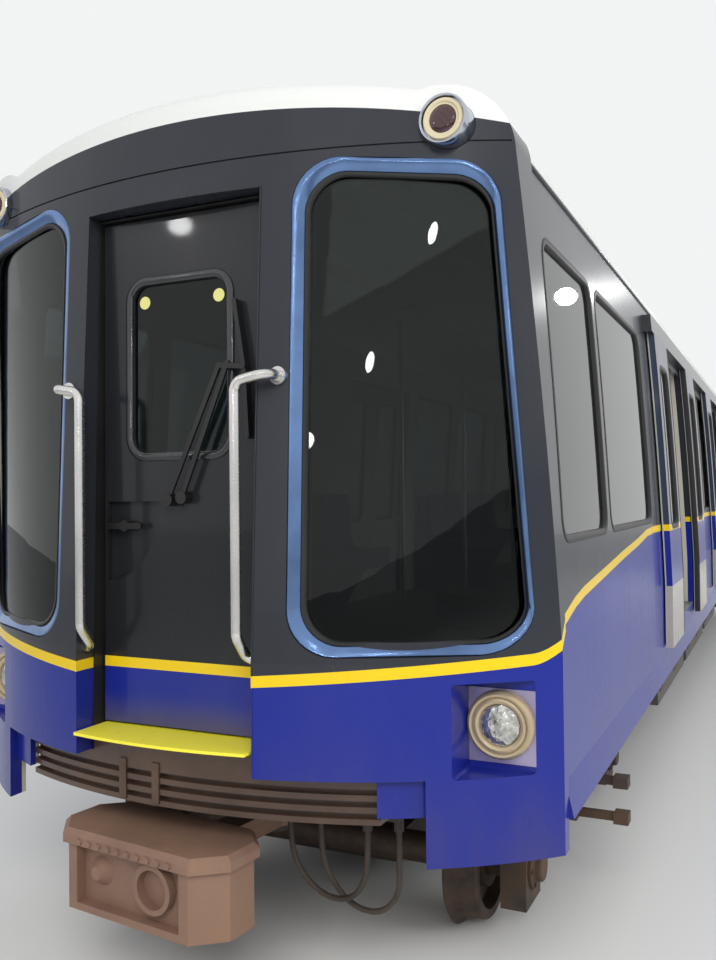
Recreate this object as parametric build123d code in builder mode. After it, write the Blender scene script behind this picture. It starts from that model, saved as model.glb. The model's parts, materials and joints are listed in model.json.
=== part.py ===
from build123d import *
import math
import os

# A light metro car in millimetres. The car runs along Y with its front at -Y, Z is up and
# Z = 0 is the lowest point of the wheel flanges. Heights named *_height are above the rail.

# Driving dimensions: the whole car
body_length = 12600.0
flange_depth = 28.0
floor_height = 864.0
floor_thickness = 50.0
wall_thickness = 70.0
cap_length = 575.0
cap_proud = 10.0
cut_margin = 100.0
stand = (Align.CENTER, Align.CENTER, Align.MIN)
nose_margin = 60.0

# Driving dimensions: the body's cross-section
waist_half_width = 1235.0
waist_height = 1180.0
side_bottom_height = 640.0
crease_height = 760.0
ledge_width = 27.0
gutter_half_width = 1138.0
gutter_height = 2820.0
side_bulge = 11.0
shoulder_half_width = 952.0
shoulder_rise = 188.0
shoulder_sagitta = 54.0
crown_rise = 92.0

# Driving dimensions: the rounded end
nose_radius = 1760.0
nose_top_radius = 2850.0
nose_top_rise = 100.0
nose_rake = 60.0 / 1000.0
nose_corner = 150.0
roof_edge_radius = 90.0
brow_height = 2833.0
brow_groove = 6.0
valance_bottom_height = 540.0
panel_bottom_height = 814.0
panel_half_width = 725.0
step_half_width = 873.0
step_bottom_height = 690.0
step_depth = 30.0

# Driving dimensions: the end door, its frame and sill
end_door_opening = 720.0
end_door_head_depth = 90.0
end_door_setback = 172.0
end_door_tilt = 0.4
end_door_thickness = 45.0
end_frame_width = 6.0
end_frame_setback = 120.5
end_frame_tilt = 1.6
end_frame_back = 90.0
reveal_width = 29.7
reveal_depth = 300.0
end_door_clearance = 8.0
end_window_width = 430.0
end_window_x = -12.0
end_window_height = 647.0
end_window_head_depth = 230.0
end_pane_depth = 12.0
end_window_radius = 70.0
sill_plate_height = 898.0
sill_plate_thickness = 10.0
sill_plate_reach = 20.0
sill_plate_corner_setback = 10.0
sill_plate_side_gap = 12.0

# Driving dimensions: windscreens and lamps
screen_inner_x = 467.0
screen_outer_x = 1182.0
screen_outer_top_x = 1100.0
screen_bottom_height = 1200.0
screen_head_depth = 2.0
screen_head_slope = 50.0
screen_radius = 150.0
screen_radius_step = 30.0
screen_recess = 22.0
screen_cut_depth = 110.0
screen_seat_depth = 28.0
screen_border_inner = 49.0
screen_border_outer = 30.0
screen_border_bottom = 45.0
screen_border_top = 58.0
pane_thickness = 10.0
pane_gap = 0.3
headlight_x = 1058.0
headlight_height = 962.0
headlight_recess_width = 226.0
headlight_recess_height = 300.0
headlight_recess_radius = 12.0
pod_rim = 12.0
pod_depth = 300.0
pod_wall = 30.0
headlight_plate_setback = 452.0
headlight_radius = 112.0
headlight_depth = 42.0
marker_x = 954.0
marker_rise = 70.0
marker_radius = 80.0
marker_depth = 95.0
marker_setback = 228.0
marker_socket_gap = 5.0

# Driving dimensions: the side doors, which hang outside the wall
doorway_width = 1160.0
header_depth = 220.0
doorway_spacing = 3700.0
leaf_overlap = 50.0
leaf_meeting_gap = 6.0
leaf_wall_gap = 8.0
leaf_thickness = 42.0
leaf_bottom_height = 790.0
leaf_head_cover = 60.0
leaf_window_width = 380.0
leaf_window_bottom_height = 1500.0
leaf_window_head_depth = 180.0
leaf_window_radius = 70.0
rail_cover_height = 100.0
seat_gap = 0.3

# Driving dimensions: the side windows
window_bottom_height = 1550.0
window_radius = 80.0
window_pillar = 100.0
end_window_margin = 90.0
quarter_window_length = 835.0
end_bay_window_length = 1280.0
middle_window_length = 1020.0
middle_pillar = 120.0
pane_setback = 14.0

# Driving dimensions: bumper and handrails
bumper_half_width = 725.0
bumper_bottom_height = 660.0
bumper_top_height = 812.0
bumper_depth = 150.0
bumper_nose_setback = 85.0
bumper_end_setback = 215.0
bumper_ribs = 4
bumper_groove = 25.0
handrail_radius = 17.5
handrail_mount_x = 435.0
handrail_x = 318.0
handrail_top_height = 2100.0
handrail_bottom_height = 1185.0
handrail_bend_height = 1265.0
handrail_setback = 15.0
handrail_foot_setback = 75.0
handrail_foot_bend = 30.0
handrail_bend = 40.0
handrail_boss_reach = 10.0
handrail_boss_rim = 12.0
handrail_root = 8.0
handrail_top_slope = 20.0
handrail_foot_spread = 4.0

# Driving dimensions: running gear
wheel_radius = 235.0
wheel_width = 130.0
wheel_back_to_back = 1360.0
flange_width = 32.0
axle_radius = 62.0
journal_radius = 48.0
journal_clearance = 0.3
journal_shoulder = 12.0
journal_reach = 30.0
tread_drop = 6.0
wheelbase = 1700.0
bogie_setback = 2000.0
frame_inner_x = 868.0
frame_beam_width = 104.0
frame_beam_height = 140.0
frame_top_height = 500.0
frame_overhang = 200.0
axle_box_size = 220.0
transom_half_width = 250.0
transom_bottom_height = 330.0
pivot_radius = 190.0
bolster_bottom_height = 600.0
bolster_width = 440.0
motor_length = 1180.0
motor_width = 560.0
motor_bottom_height = 40.0
motor_top_height = 165.0
shoe_x = 1300.0
shoe_setback = 1450.0
shoe_heights = (369.0, 516.0)
shoe_tip_size = (60.0, 70.0, 44.0)
shoe_arm_size = (36.0, 30.0)
shoe_bracket_size = (120.0, 90.0, 200.0)
axle_box_margin = 20.0
motor_hanger_size = (60.0, 300.0)

# Driving dimensions: couplers
coupler_half_width = 385.0
coupler_top_height = 565.0
coupler_box_height = 275.0
coupler_nose_reach = 40.0
coupler_box_length = 340.0
coupler_corner = 95.0
coupler_rest_swing = -7.0
coupler_lid_height = 48.0
coupler_lid_overhang = 14.0
coupler_lid_bevel = 18.0
coupler_pocket_depth = 54.0
coupler_pocket_half_width = 236.0
coupler_lip_height = 25.0
coupler_cone_x = -150.0
coupler_cone_radius = 50.0
coupler_socket_x = 110.0
coupler_socket_radius = 82.0
coupler_socket_wall = 18.0
coupler_feature_depth = 34.0
coupler_pivot_setback = 800.0
coupler_pin_radius = 30.0
coupler_eye_radius = 75.0
drawbar_half_width = 60.0
coupler_cone_taper = 40.0
coupler_beam_width = 260.0
eye_thickness = 80.0
washer_thickness = 25.0
washer_rim = 15.0

# Driving dimensions: inside the saloon and under the floor
seat_depth = 430.0
seat_height = 430.0
seat_back_height = 830.0
seat_cushion = 90.0
seat_back_thickness = 80.0
pole_radius = 17.0
sill_beam_x = 350.0
sill_beam_width = 100.0
beam_bottom_height = 620.0
cross_beam_width = 120.0
equipment_clearance = 950.0
jack_pad_x = 1000.0
jack_pad_width = 160.0
jack_pad_length = 100.0
jack_pad_thickness = 12.0
jack_beam_margin = 200.0
end_beam_depth = 80.0
gland_radius = 17.0
gland_length = 50.0
hose_radius = 10.0
pole_x = 640.0
pole_door_margin = 130.0
bench_wall_gap = 30.0
bench_door_margin = 230.0
bench_end_margin = 250.0
bench_foot_depth = 60.0
bench_slope = 10.0
bench_plinth_depth = 260.0
equipment_chamfer = 30.0
rail_margin = 40.0

# Values worked out from the driving dimensions
half_length = body_length / 2
shoulder_height = gutter_height + shoulder_rise
crown_height = shoulder_height + crown_rise
nose_top_height = crown_height + nose_top_rise
end_door_top_height = gutter_height - end_door_head_depth
end_window_top_height = end_door_top_height - end_window_head_depth
end_window_bottom_height = end_window_top_height - end_window_height
screen_top_height = gutter_height - screen_head_depth
marker_height = gutter_height + marker_rise
doorway_top_height = gutter_height - header_depth
window_top_height = doorway_top_height
leaf_top_height = doorway_top_height + leaf_head_cover
leaf_window_top_height = leaf_top_height - leaf_window_head_depth
cut_reach = 4 * waist_half_width
sill_back_reach = 40.0
cap_edge = half_length - cap_length
floor_bottom_height = floor_height - floor_thickness
frame_outer_x = frame_inner_x + frame_beam_width
bogie_y = half_length - bogie_setback
equipment_half_length = bogie_y - wheelbase / 2 - equipment_clearance
leaf_width = doorway_width / 2 + leaf_overlap - leaf_meeting_gap / 2
leaf_travel = doorway_width / 2
lean = math.radians(end_door_tilt)

os.makedirs("parts", exist_ok=True)


def level(height):
    """Turn a height above the rail into a Z value."""
    return height + flange_depth


def save(part, name):
    """Label one finished sub-part and write its file."""
    part.label = name
    export_step(part, f"parts/{name}.step")


def turned(part):
    """The same sub-part at the other end of the car."""
    return part.rotate(Axis.Z, 180)


def body_outline(growth, bottom_height):
    """The cross-section of the body, grown outward by growth, down to a level bottom edge."""
    waist = waist_half_width + growth
    gutter = gutter_half_width + growth
    side_mid = ((waist + gutter) / 2 + side_bulge, level((waist_height + gutter_height) / 2))
    shoulder_top = (shoulder_half_width + 0.19 * growth, level(shoulder_height) + 0.98 * growth)
    chord_mid_x = (gutter + shoulder_top[0]) / 2
    chord_mid_z = (level(gutter_height) + shoulder_top[1]) / 2
    slant = math.sqrt(0.5)
    shoulder_mid = (chord_mid_x + shoulder_sagitta * slant, chord_mid_z + shoulder_sagitta * slant)
    crown = level(crown_height) + growth
    drop = crown - shoulder_top[1]
    roof_radius = (shoulder_top[0] ** 2 + drop ** 2) / (2 * drop)
    half_x = shoulder_top[0] / 2
    roof_mid = (half_x, crown - roof_radius + math.sqrt(roof_radius ** 2 - half_x ** 2))
    with BuildSketch() as outline:
        with BuildLine():
            Line((0, level(bottom_height)), (waist, level(bottom_height)))
            Line((waist, level(bottom_height)), (waist, level(waist_height)))
            ThreePointArc((waist, level(waist_height)), side_mid, (gutter, level(gutter_height)))
            ThreePointArc((gutter, level(gutter_height)), shoulder_mid, shoulder_top)
            ThreePointArc(shoulder_top, roof_mid, (0, crown))
            mirror(about=Plane.YZ)
        make_face()
    return outline.sketch


def nose_plan(height, radius, setback, inset):
    """The plan of the rounded end at one height: an arc across, with rounded corners."""
    half_width = waist_half_width + nose_margin - inset
    front = -half_length + setback + inset
    arc_radius = radius - inset
    side_y = front + arc_radius - math.sqrt(arc_radius ** 2 - half_width ** 2)
    with BuildSketch(Plane.XY.offset(level(height))) as plan:
        with BuildLine():
            Polyline((-half_width, side_y), (-half_width, 0), (half_width, 0), (half_width, side_y))
            ThreePointArc((-half_width, side_y), (0, front), (half_width, side_y))
        make_face()
        fillet(plan.vertices().group_by(Axis.Y)[0], nose_corner)
    return plan.sketch


def nose_envelope(inset):
    """Everything behind the curved end face, inset inward from it."""
    low = nose_plan(waist_height, nose_radius, 0, inset)
    top_setback = nose_rake * (nose_top_height - waist_height)
    high = nose_plan(nose_top_height, nose_top_radius, top_setback, inset)
    with BuildPart() as envelope:
        add(low)
        extrude(amount=-(waist_height - valance_bottom_height + cut_margin))
        add(Solid.make_loft([low.face().outer_wire(), high.face().outer_wire()], ruled=True))
    return envelope.part


def nose_solid(inset, growth):
    """The whole front half of the body as a block, inset from the end face and the sides."""
    with BuildPart() as solid:
        with BuildSketch(Plane.XZ):
            add(body_outline(growth - inset, valance_bottom_height - cut_margin))
        extrude(amount=half_length + cut_margin)
        add(nose_envelope(inset), mode=Mode.INTERSECT)
    return solid.part


def nose_layer(outer_inset, inner_inset):
    """A curved sheet of the end face, between two insets."""
    with BuildPart() as layer:
        add(nose_envelope(outer_inset))
        add(nose_envelope(inner_inset), mode=Mode.SUBTRACT)
    return layer.part


def screen_prism(border, side):
    """The outline of a windscreen run along the car; its outer edge follows the body side."""
    left = screen_inner_x + border * screen_border_inner
    bottom = level(screen_bottom_height + border * screen_border_bottom)
    top = level(screen_top_height - border * screen_border_top)
    outer_top = top - screen_head_slope
    low_right = screen_outer_x - border * screen_border_outer
    high_right = screen_outer_top_x - border * screen_border_outer
    with BuildPart() as prism:
        with BuildSketch(Plane.XZ.offset(cap_edge - cut_margin)) as shape:
            with BuildLine():
                Polyline(
                    (side * left, bottom),
                    (side * low_right, bottom),
                    (side * high_right, outer_top),
                    (side * left, top),
                    close=True,
                )
            make_face()
            fillet(shape.vertices(), screen_radius - border * screen_radius_step)
        extrude(amount=cap_length + 3 * cut_margin)
    return prism.part


# The end door's own plane leans back: local X across, local Y up the door, Z out of the front
door_normal = Vector(0, -math.cos(lean), math.sin(lean))
door_foot = level(sill_plate_height) + end_door_clearance
door_plane = Plane(
    origin=(0, -half_length + end_door_setback, door_foot), x_dir=(1, 0, 0), z_dir=door_normal
)
door_leaf_height = level(end_door_top_height) - door_foot - end_frame_width - 2 * end_door_clearance
door_leaf_width = end_door_opening - 2 * (end_frame_width + end_door_clearance)

# Front cap: one moulding with the end face, both corners and the start of the roof
pod_back_y = -half_length + headlight_plate_setback + pod_wall
with BuildPart() as pods:
    with Locations(
        (headlight_x, pod_back_y - pod_depth / 2, level(headlight_height)),
        (-headlight_x, pod_back_y - pod_depth / 2, level(headlight_height)),
    ):
        Box(headlight_recess_width + 2 * pod_rim, pod_depth, headlight_recess_height + 2 * pod_rim)
    add(nose_solid(1, cap_proud), mode=Mode.INTERSECT)

# jambs and a header line the doorway, from the end face back to the door's frame
reveal_half = end_door_opening / 2 + reveal_width
with BuildPart() as reveal:
    for low, high, depth in (
        (panel_bottom_height, end_door_top_height + reveal_width, end_door_setback + sill_back_reach),
        (floor_height + seat_gap, end_door_top_height + reveal_width, reveal_depth),
    ):
        with Locations((0, -half_length + depth / 2, level((low + high) / 2))):
            Box(2 * reveal_half, depth, high - low)
    add(nose_solid(1, cap_proud), mode=Mode.INTERSECT)

with BuildPart() as step_block:
    with BuildSketch(Plane.XZ.offset(cap_edge)):
        with Locations((0, level(panel_bottom_height))):
            Rectangle(2 * step_half_width, cut_reach, align=(Align.CENTER, Align.MAX))
    extrude(amount=cap_length + cut_margin)

with BuildPart() as front_cap:
    add(nose_solid(0, cap_proud))
    roof_edges = front_cap.edges().filter_by_position(Axis.Y, -half_length, -cap_edge)
    roof_edges = roof_edges.filter_by_position(Axis.Z, level(shoulder_height), level(nose_top_height))
    fillet(roof_edges, roof_edge_radius)
    add(nose_solid(wall_thickness, 0), mode=Mode.SUBTRACT)
    with BuildSketch(Plane.XZ):
        Rectangle(cut_reach, cut_reach * 2)
    extrude(amount=cap_edge, mode=Mode.SUBTRACT)
    add(pods.part)
    add(reveal.part)
    # headlight recesses face straight ahead, so they are deep inboard and flush outboard
    for side in (-1, 1):
        with BuildSketch(Plane.XZ.offset(half_length - headlight_plate_setback)):
            with Locations((side * headlight_x, level(headlight_height))):
                RectangleRounded(headlight_recess_width, headlight_recess_height, headlight_recess_radius)
        extrude(amount=6 * cut_margin, mode=Mode.SUBTRACT)
    # windscreens: a shallow recess, and a smaller opening through the wall
    for side in (-1, 1):
        for border, depth in ((0, screen_recess), (1, screen_cut_depth)):
            add(screen_prism(border, side) & nose_layer(-nose_margin, depth), mode=Mode.SUBTRACT)
    # end doorway, open at the bottom
    with BuildSketch(Plane.XZ.offset(cap_edge - cap_proud)):
        with Locations((0, level(end_door_top_height))):
            Rectangle(end_door_opening, cut_reach, align=(Align.CENTER, Align.MAX))
    extrude(amount=9 * cut_margin, mode=Mode.SUBTRACT)
    # the joint under the brow
    with BuildSketch(Plane.XY.offset(level(brow_height))):
        Rectangle(2 * gutter_half_width, body_length)
    brow_slice = extrude(amount=brow_groove, mode=Mode.PRIVATE)
    add(brow_slice & nose_layer(-nose_margin, brow_groove), mode=Mode.SUBTRACT)
    # lower edge: high above the bumper, stepped, then down to the corner valances
    with BuildSketch(Plane.XZ.offset(cap_edge - cap_proud)):
        with Locations((0, level(panel_bottom_height))):
            Rectangle(2 * panel_half_width, cut_reach, align=(Align.CENTER, Align.MAX))
        with Locations((0, level(step_bottom_height))):
            Rectangle(2 * step_half_width, cut_reach, align=(Align.CENTER, Align.MAX))
        with Locations((0, level(valance_bottom_height))):
            Rectangle(cut_reach, cut_reach, align=(Align.CENTER, Align.MAX))
    extrude(amount=9 * cut_margin, mode=Mode.SUBTRACT)
    # beside the bumper the step lies further in than the panel above it
    add(step_block.part & nose_layer(-nose_margin, step_depth), mode=Mode.SUBTRACT)
    # marker lamp sockets
    with BuildSketch(Plane.XZ.offset(half_length - marker_setback - marker_depth - marker_socket_gap)):
        with Locations((marker_x, level(marker_height)), (-marker_x, level(marker_height))):
            Circle(marker_radius + seat_gap)
    extrude(amount=4 * cut_margin, mode=Mode.SUBTRACT)
save(front_cap.part, "front_cap")
save(turned(front_cap.part), "rear_cap")

# Side walls: the whole thickness from outer skin to lining, with doorways and windows cut
door_centres = (-doorway_spacing / 2, doorway_spacing / 2)
quarter_start = cap_edge - end_window_margin
quarter_end = quarter_start - quarter_window_length
bay_start = quarter_end - window_pillar
bay_end = bay_start - end_bay_window_length
middle_end = middle_pillar / 2 + middle_window_length
window_spans = (
    # start and end along the car
    (-quarter_start, -quarter_end),
    (-bay_start, -bay_end),
    (-middle_end, -middle_pillar / 2),
    (middle_pillar / 2, middle_end),
    (bay_end, bay_start),
    (quarter_end, quarter_start),
)


def side_wall(side):
    """One body side between the caps, from the sill ledge up to the gutter."""
    with BuildPart() as wall:
        with BuildSketch(Plane.XZ.offset(-cap_edge)):
            add(body_outline(0, side_bottom_height))
            add(body_outline(-wall_thickness, side_bottom_height - cut_margin / 2), mode=Mode.SUBTRACT)
            with Locations((0, level(gutter_height))):
                Rectangle(cut_reach, cut_reach, align=(Align.CENTER, Align.MIN), mode=Mode.SUBTRACT)
            with Locations((-side * 2 * waist_half_width, 0)):
                Rectangle(4 * waist_half_width, 4 * crown_height, mode=Mode.SUBTRACT)
            # the ledge that flares out under the doors
            with BuildLine():
                Polyline(
                    (side * (waist_half_width - 5), level(crease_height)),
                    (side * waist_half_width, level(crease_height)),
                    (side * (waist_half_width + ledge_width), level(side_bottom_height)),
                    (side * (waist_half_width - 5), level(side_bottom_height)),
                    close=True,
                )
            make_face()
        extrude(amount=2 * cap_edge)
        with BuildSketch(Plane.YZ.offset(side * (waist_half_width + 200))):
            for centre in door_centres:
                with Locations((centre, level(floor_height))):
                    Rectangle(
                        doorway_width,
                        doorway_top_height - floor_height,
                        align=(Align.CENTER, Align.MIN),
                    )
            for start, end in window_spans:
                with Locations(((start + end) / 2, level((window_bottom_height + window_top_height) / 2))):
                    RectangleRounded(end - start, window_top_height - window_bottom_height, window_radius)
        extrude(amount=-side * 500, mode=Mode.SUBTRACT)
    return wall.part


save(side_wall(1), "side_wall_right")
save(side_wall(-1), "side_wall_left")

# Roof between the caps, over the gutters
with BuildPart() as roof:
    with BuildSketch(Plane.XZ.offset(-cap_edge)):
        add(body_outline(0, side_bottom_height))
        add(body_outline(-wall_thickness, side_bottom_height - cut_margin / 2), mode=Mode.SUBTRACT)
        with Locations((0, level(gutter_height))):
            Rectangle(cut_reach, cut_reach, align=(Align.CENTER, Align.MAX), mode=Mode.SUBTRACT)
    extrude(amount=2 * cap_edge)
save(roof.part, "roof")

sill_back_y = -half_length + end_door_setback + sill_back_reach

# Floor, cut to the inside of the walls and the rounded ends
with BuildPart() as front_floor:
    add(nose_solid(wall_thickness + seat_gap, 0))
    with BuildSketch(Plane.XY.offset(level(floor_bottom_height))):
        Rectangle(4 * waist_half_width, 2 * body_length)
    extrude(amount=floor_thickness, mode=Mode.INTERSECT)
    with BuildSketch(Plane.XY):
        with Locations((0, sill_back_y + seat_gap)):
            Rectangle(2 * (reveal_half + seat_gap), 600, align=(Align.CENTER, Align.MAX))
        for side in (-1, 1):
            with Locations((side * headlight_x, pod_back_y + seat_gap)):
                Rectangle(
                    headlight_recess_width + 2 * (pod_rim + seat_gap),
                    2 * pod_depth,
                    align=(Align.CENTER, Align.MAX),
                )
    extrude(amount=level(crown_height), mode=Mode.SUBTRACT)
with BuildPart() as floor:
    add(front_floor.part)
    add(turned(front_floor.part))
save(floor.part, "floor")

# Underframe: two sill beams, cross beams, a bolster over each bogie and the coupler pins
underframe_end = half_length - bumper_end_setback - bumper_depth - end_beam_depth / 2
jack_beam_y = equipment_half_length + jack_beam_margin
cross_beam_shares = (-0.76, -0.44, 0, 0.44, 0.76)
cross_beam_places = [share * equipment_half_length for share in cross_beam_shares]
cross_beam_places += [-jack_beam_y, jack_beam_y]
sill_depth = floor_bottom_height - beam_bottom_height
coupler_pivot_y = half_length - coupler_pivot_setback
coupler_mid_height = coupler_top_height - coupler_box_height / 2
gland_places = (
    # across, outward from the end beam's middle
    (300.0, 17.0),
    (600.0, 17.0),
    (400.0, -21.0),
    (700.0, -21.0),
)
beam_reach = waist_half_width - wall_thickness - seat_gap
with BuildPart() as underframe:
    for side in (-1, 1):
        with Locations((side * sill_beam_x, 0, level(beam_bottom_height))):
            Box(sill_beam_width, 2 * underframe_end, sill_depth, align=stand)
    for place in cross_beam_places:
        with Locations((0, place, level(beam_bottom_height))):
            Box(2 * beam_reach, cross_beam_width, sill_depth, align=(Align.CENTER, Align.CENTER, Align.MIN))
    for end in (-1, 1):
        with Locations((0, end * bogie_y, level(bolster_bottom_height))):
            Box(
                2 * beam_reach,
                bolster_width,
                floor_bottom_height - bolster_bottom_height,
                align=(Align.CENTER, Align.CENTER, Align.MIN),
            )
        with Locations((0, end * coupler_pivot_y, level(beam_bottom_height))):
            Box(2 * sill_beam_x, coupler_beam_width, sill_depth, align=stand)
        with Locations((0, end * underframe_end, level(beam_bottom_height))):
            Box(
                2 * bumper_half_width,
                end_beam_depth,
                sill_depth,
                align=(Align.CENTER, Align.CENTER, Align.MIN),
            )
        pin_bottom = level(coupler_mid_height) - eye_thickness / 2 - washer_thickness - seat_gap
        pin_length = level(beam_bottom_height) - pin_bottom
        with Locations((0, end * coupler_pivot_y, pin_bottom)):
            Cylinder(coupler_pin_radius, pin_length, align=(Align.CENTER, Align.CENTER, Align.MIN))
            Cylinder(
                coupler_eye_radius - washer_rim,
                washer_thickness,
                align=(Align.CENTER, Align.CENTER, Align.MIN),
            )
    # short glands under the end beams, where the hoses leave
    for end in (-1, 1):
        for gland_x, gland_out in gland_places:
            with Locations((-end * gland_x, end * (underframe_end + gland_out), level(beam_bottom_height))):
                Cylinder(gland_radius, gland_length, align=(Align.CENTER, Align.CENTER, Align.MAX))
    # pads for the depot's lifting jacks
    for end in (-1, 1):
        for side in (-1, 1):
            with Locations((side * jack_pad_x, end * jack_beam_y, level(beam_bottom_height))):
                Box(
                    jack_pad_width,
                    jack_pad_length,
                    jack_pad_thickness,
                    align=(Align.CENTER, Align.CENTER, Align.MAX),
                )
save(underframe.part, "underframe")

# Hoses: each hangs in a loop from one gland to another
hose_top = level(beam_bottom_height) - gland_length
hose_routes = (
    # across, outward from the end beam's middle, up
    (
        (300, 17, hose_top),
        (300, 17, 500),
        (340, 7, 405),
        (428, -1, 335),
        (532, 1, 345),
        (590, 9, 430),
        (600, 17, 520),
        (600, 17, hose_top),
    ),
    (
        (400, -21, hose_top),
        (400, -21, 490),
        (425, -47, 380),
        (500, -63, 292),
        (606, -65, 282),
        (684, -53, 358),
        (700, -21, 470),
        (700, -21, hose_top),
    ),
)


def route_radii(route):
    """For each corner of a route, 0.45 of the shorter run over the tangent of half the turn."""
    corners = [Vector(point) for point in route]
    radii = []
    for before, corner, after in zip(corners, corners[1:], corners[2:]):
        run_in = corner - before
        run_out = after - corner
        turn = math.radians(run_in.get_angle(run_out))
        radii.append(0.45 * min(run_in.length, run_out.length) / math.tan(turn / 2))
    return radii


def hose(route):
    """A round hose along straight runs joined by arcs."""
    with BuildPart() as tube:
        with BuildLine() as path:
            FilletPolyline(*route, radius=route_radii(route))
        with BuildSketch(Plane(origin=path.line @ 0, z_dir=path.line % 0)):
            Circle(hose_radius)
        sweep()
    return tube.part


for number, route in enumerate(hose_routes, start=1):
    tube = hose([(across, -underframe_end - out, up) for across, out, up in route])
    save(tube, f"front_hose_{number}")
    save(turned(tube), f"rear_hose_{number}")

# Fixed glass: windscreens that follow the curved end, and the side windows
def side_pane(start, end, side):
    """One curved side window pane, filling its opening with a small gap all round."""
    middle = level((window_bottom_height + window_top_height) / 2)
    with BuildPart() as pane:
        with BuildSketch(Plane.XZ.offset(-end)):
            add(body_outline(-pane_setback, side_bottom_height))
            pane_inner = body_outline(-pane_setback - pane_thickness, side_bottom_height - cut_margin / 2)
            add(pane_inner, mode=Mode.SUBTRACT)
        extrude(amount=end - start)
        with BuildSketch(Plane.YZ):
            with Locations(((start + end) / 2, middle)):
                RectangleRounded(
                    end - start - 2 * pane_gap,
                    window_top_height - window_bottom_height - 2 * pane_gap,
                    window_radius - pane_gap,
                )
        extrude(amount=side * 2 * waist_half_width, mode=Mode.INTERSECT)
    return pane.part


def screen_pane(side):
    """One curved windscreen pane, seated behind its recess."""
    with BuildPart() as pane:
        add(nose_layer(screen_seat_depth, screen_seat_depth + pane_thickness))
        add(screen_prism(1 + pane_gap / screen_border_outer, side), mode=Mode.INTERSECT)
    return pane.part


with BuildPart() as front_screens:
    add(screen_pane(-1))
    add(screen_pane(1))
with BuildPart() as windows:
    add(front_screens.part)
    add(turned(front_screens.part))
    for side in (-1, 1):
        for start, end in window_spans:
            add(side_pane(start, end, side))
save(windows.part, "windows")

# Hinges of the end door: knuckles on its inner face, turning on pins carried by the frame
hinge_inset = 4.0
hinge_offset = 9.0
hinge_x = door_leaf_width / 2 - hinge_inset
hinge_drop = end_door_thickness + hinge_offset
hinge_radius = 8.5
hinge_web = 10.0
hinge_lug_width = 12.0
hinge_overlap = 0.5
hinge_pin_radius = 5.0
knuckle_length = 50.0
lug_length = 20.0
hinge_places = (180.0, 880.0, 1580.0)
door_up = Vector(0, math.sin(lean), math.cos(lean))


def hinge_plane(up_door):
    """A plane across the hinge line at one distance up the door, its local Y pointing inward."""
    origin = door_plane.from_local_coords((hinge_x, up_door, -hinge_drop))
    return Plane(origin=origin, x_dir=(1, 0, 0), z_dir=door_up)


# End door frame: a ring that lines the doorway, leaning back with the door
frame_top = 2 * end_door_clearance + door_leaf_height + end_frame_width
frame_tilt = math.radians(end_frame_tilt)
frame_front_plane = Plane(
    origin=(0, -half_length + end_frame_setback, door_foot),
    x_dir=(1, 0, 0),
    z_dir=(0, -math.cos(frame_tilt), math.sin(frame_tilt)),
)
with BuildPart() as front_frame:
    with BuildSketch(door_plane.offset(-end_frame_back)):
        with Locations((0, -end_door_clearance)):
            Rectangle(
                end_door_opening - 2 * seat_gap,
                frame_top,
                align=(Align.CENTER, Align.MIN),
            )
            Rectangle(
                end_door_opening - 2 * end_frame_width,
                frame_top - end_frame_width,
                align=(Align.CENTER, Align.MIN),
                mode=Mode.SUBTRACT,
            )
    extrude(amount=end_frame_back + end_door_setback)
    # its front edge leans back more than the door
    with BuildSketch(frame_front_plane):
        Rectangle(2 * end_door_opening, 2 * body_length)
    extrude(amount=end_door_setback, mode=Mode.SUBTRACT)
    with BuildSketch(Plane.XY.offset(level(sill_plate_height) + seat_gap)):
        Rectangle(2 * end_door_opening, 2 * body_length)
    extrude(amount=-200, mode=Mode.SUBTRACT)
    lug_reach = end_door_opening / 2 - end_frame_width - hinge_x
    for place in hinge_places:
        for lug_start in (place - lug_length - seat_gap, place + knuckle_length + seat_gap):
            with BuildSketch(hinge_plane(lug_start)):
                Circle(hinge_radius)
                with Locations((lug_reach / 2 + hinge_overlap, 0)):
                    Rectangle(lug_reach + 2 * hinge_overlap, hinge_lug_width)
            extrude(amount=lug_length)
        with BuildSketch(hinge_plane(place - lug_length)):
            Circle(hinge_pin_radius)
        extrude(amount=knuckle_length + 2 * lug_length)
with BuildPart() as end_door_frames:
    add(front_frame.part)
    add(turned(front_frame.part))
save(end_door_frames.part, "end_door_frames")

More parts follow.
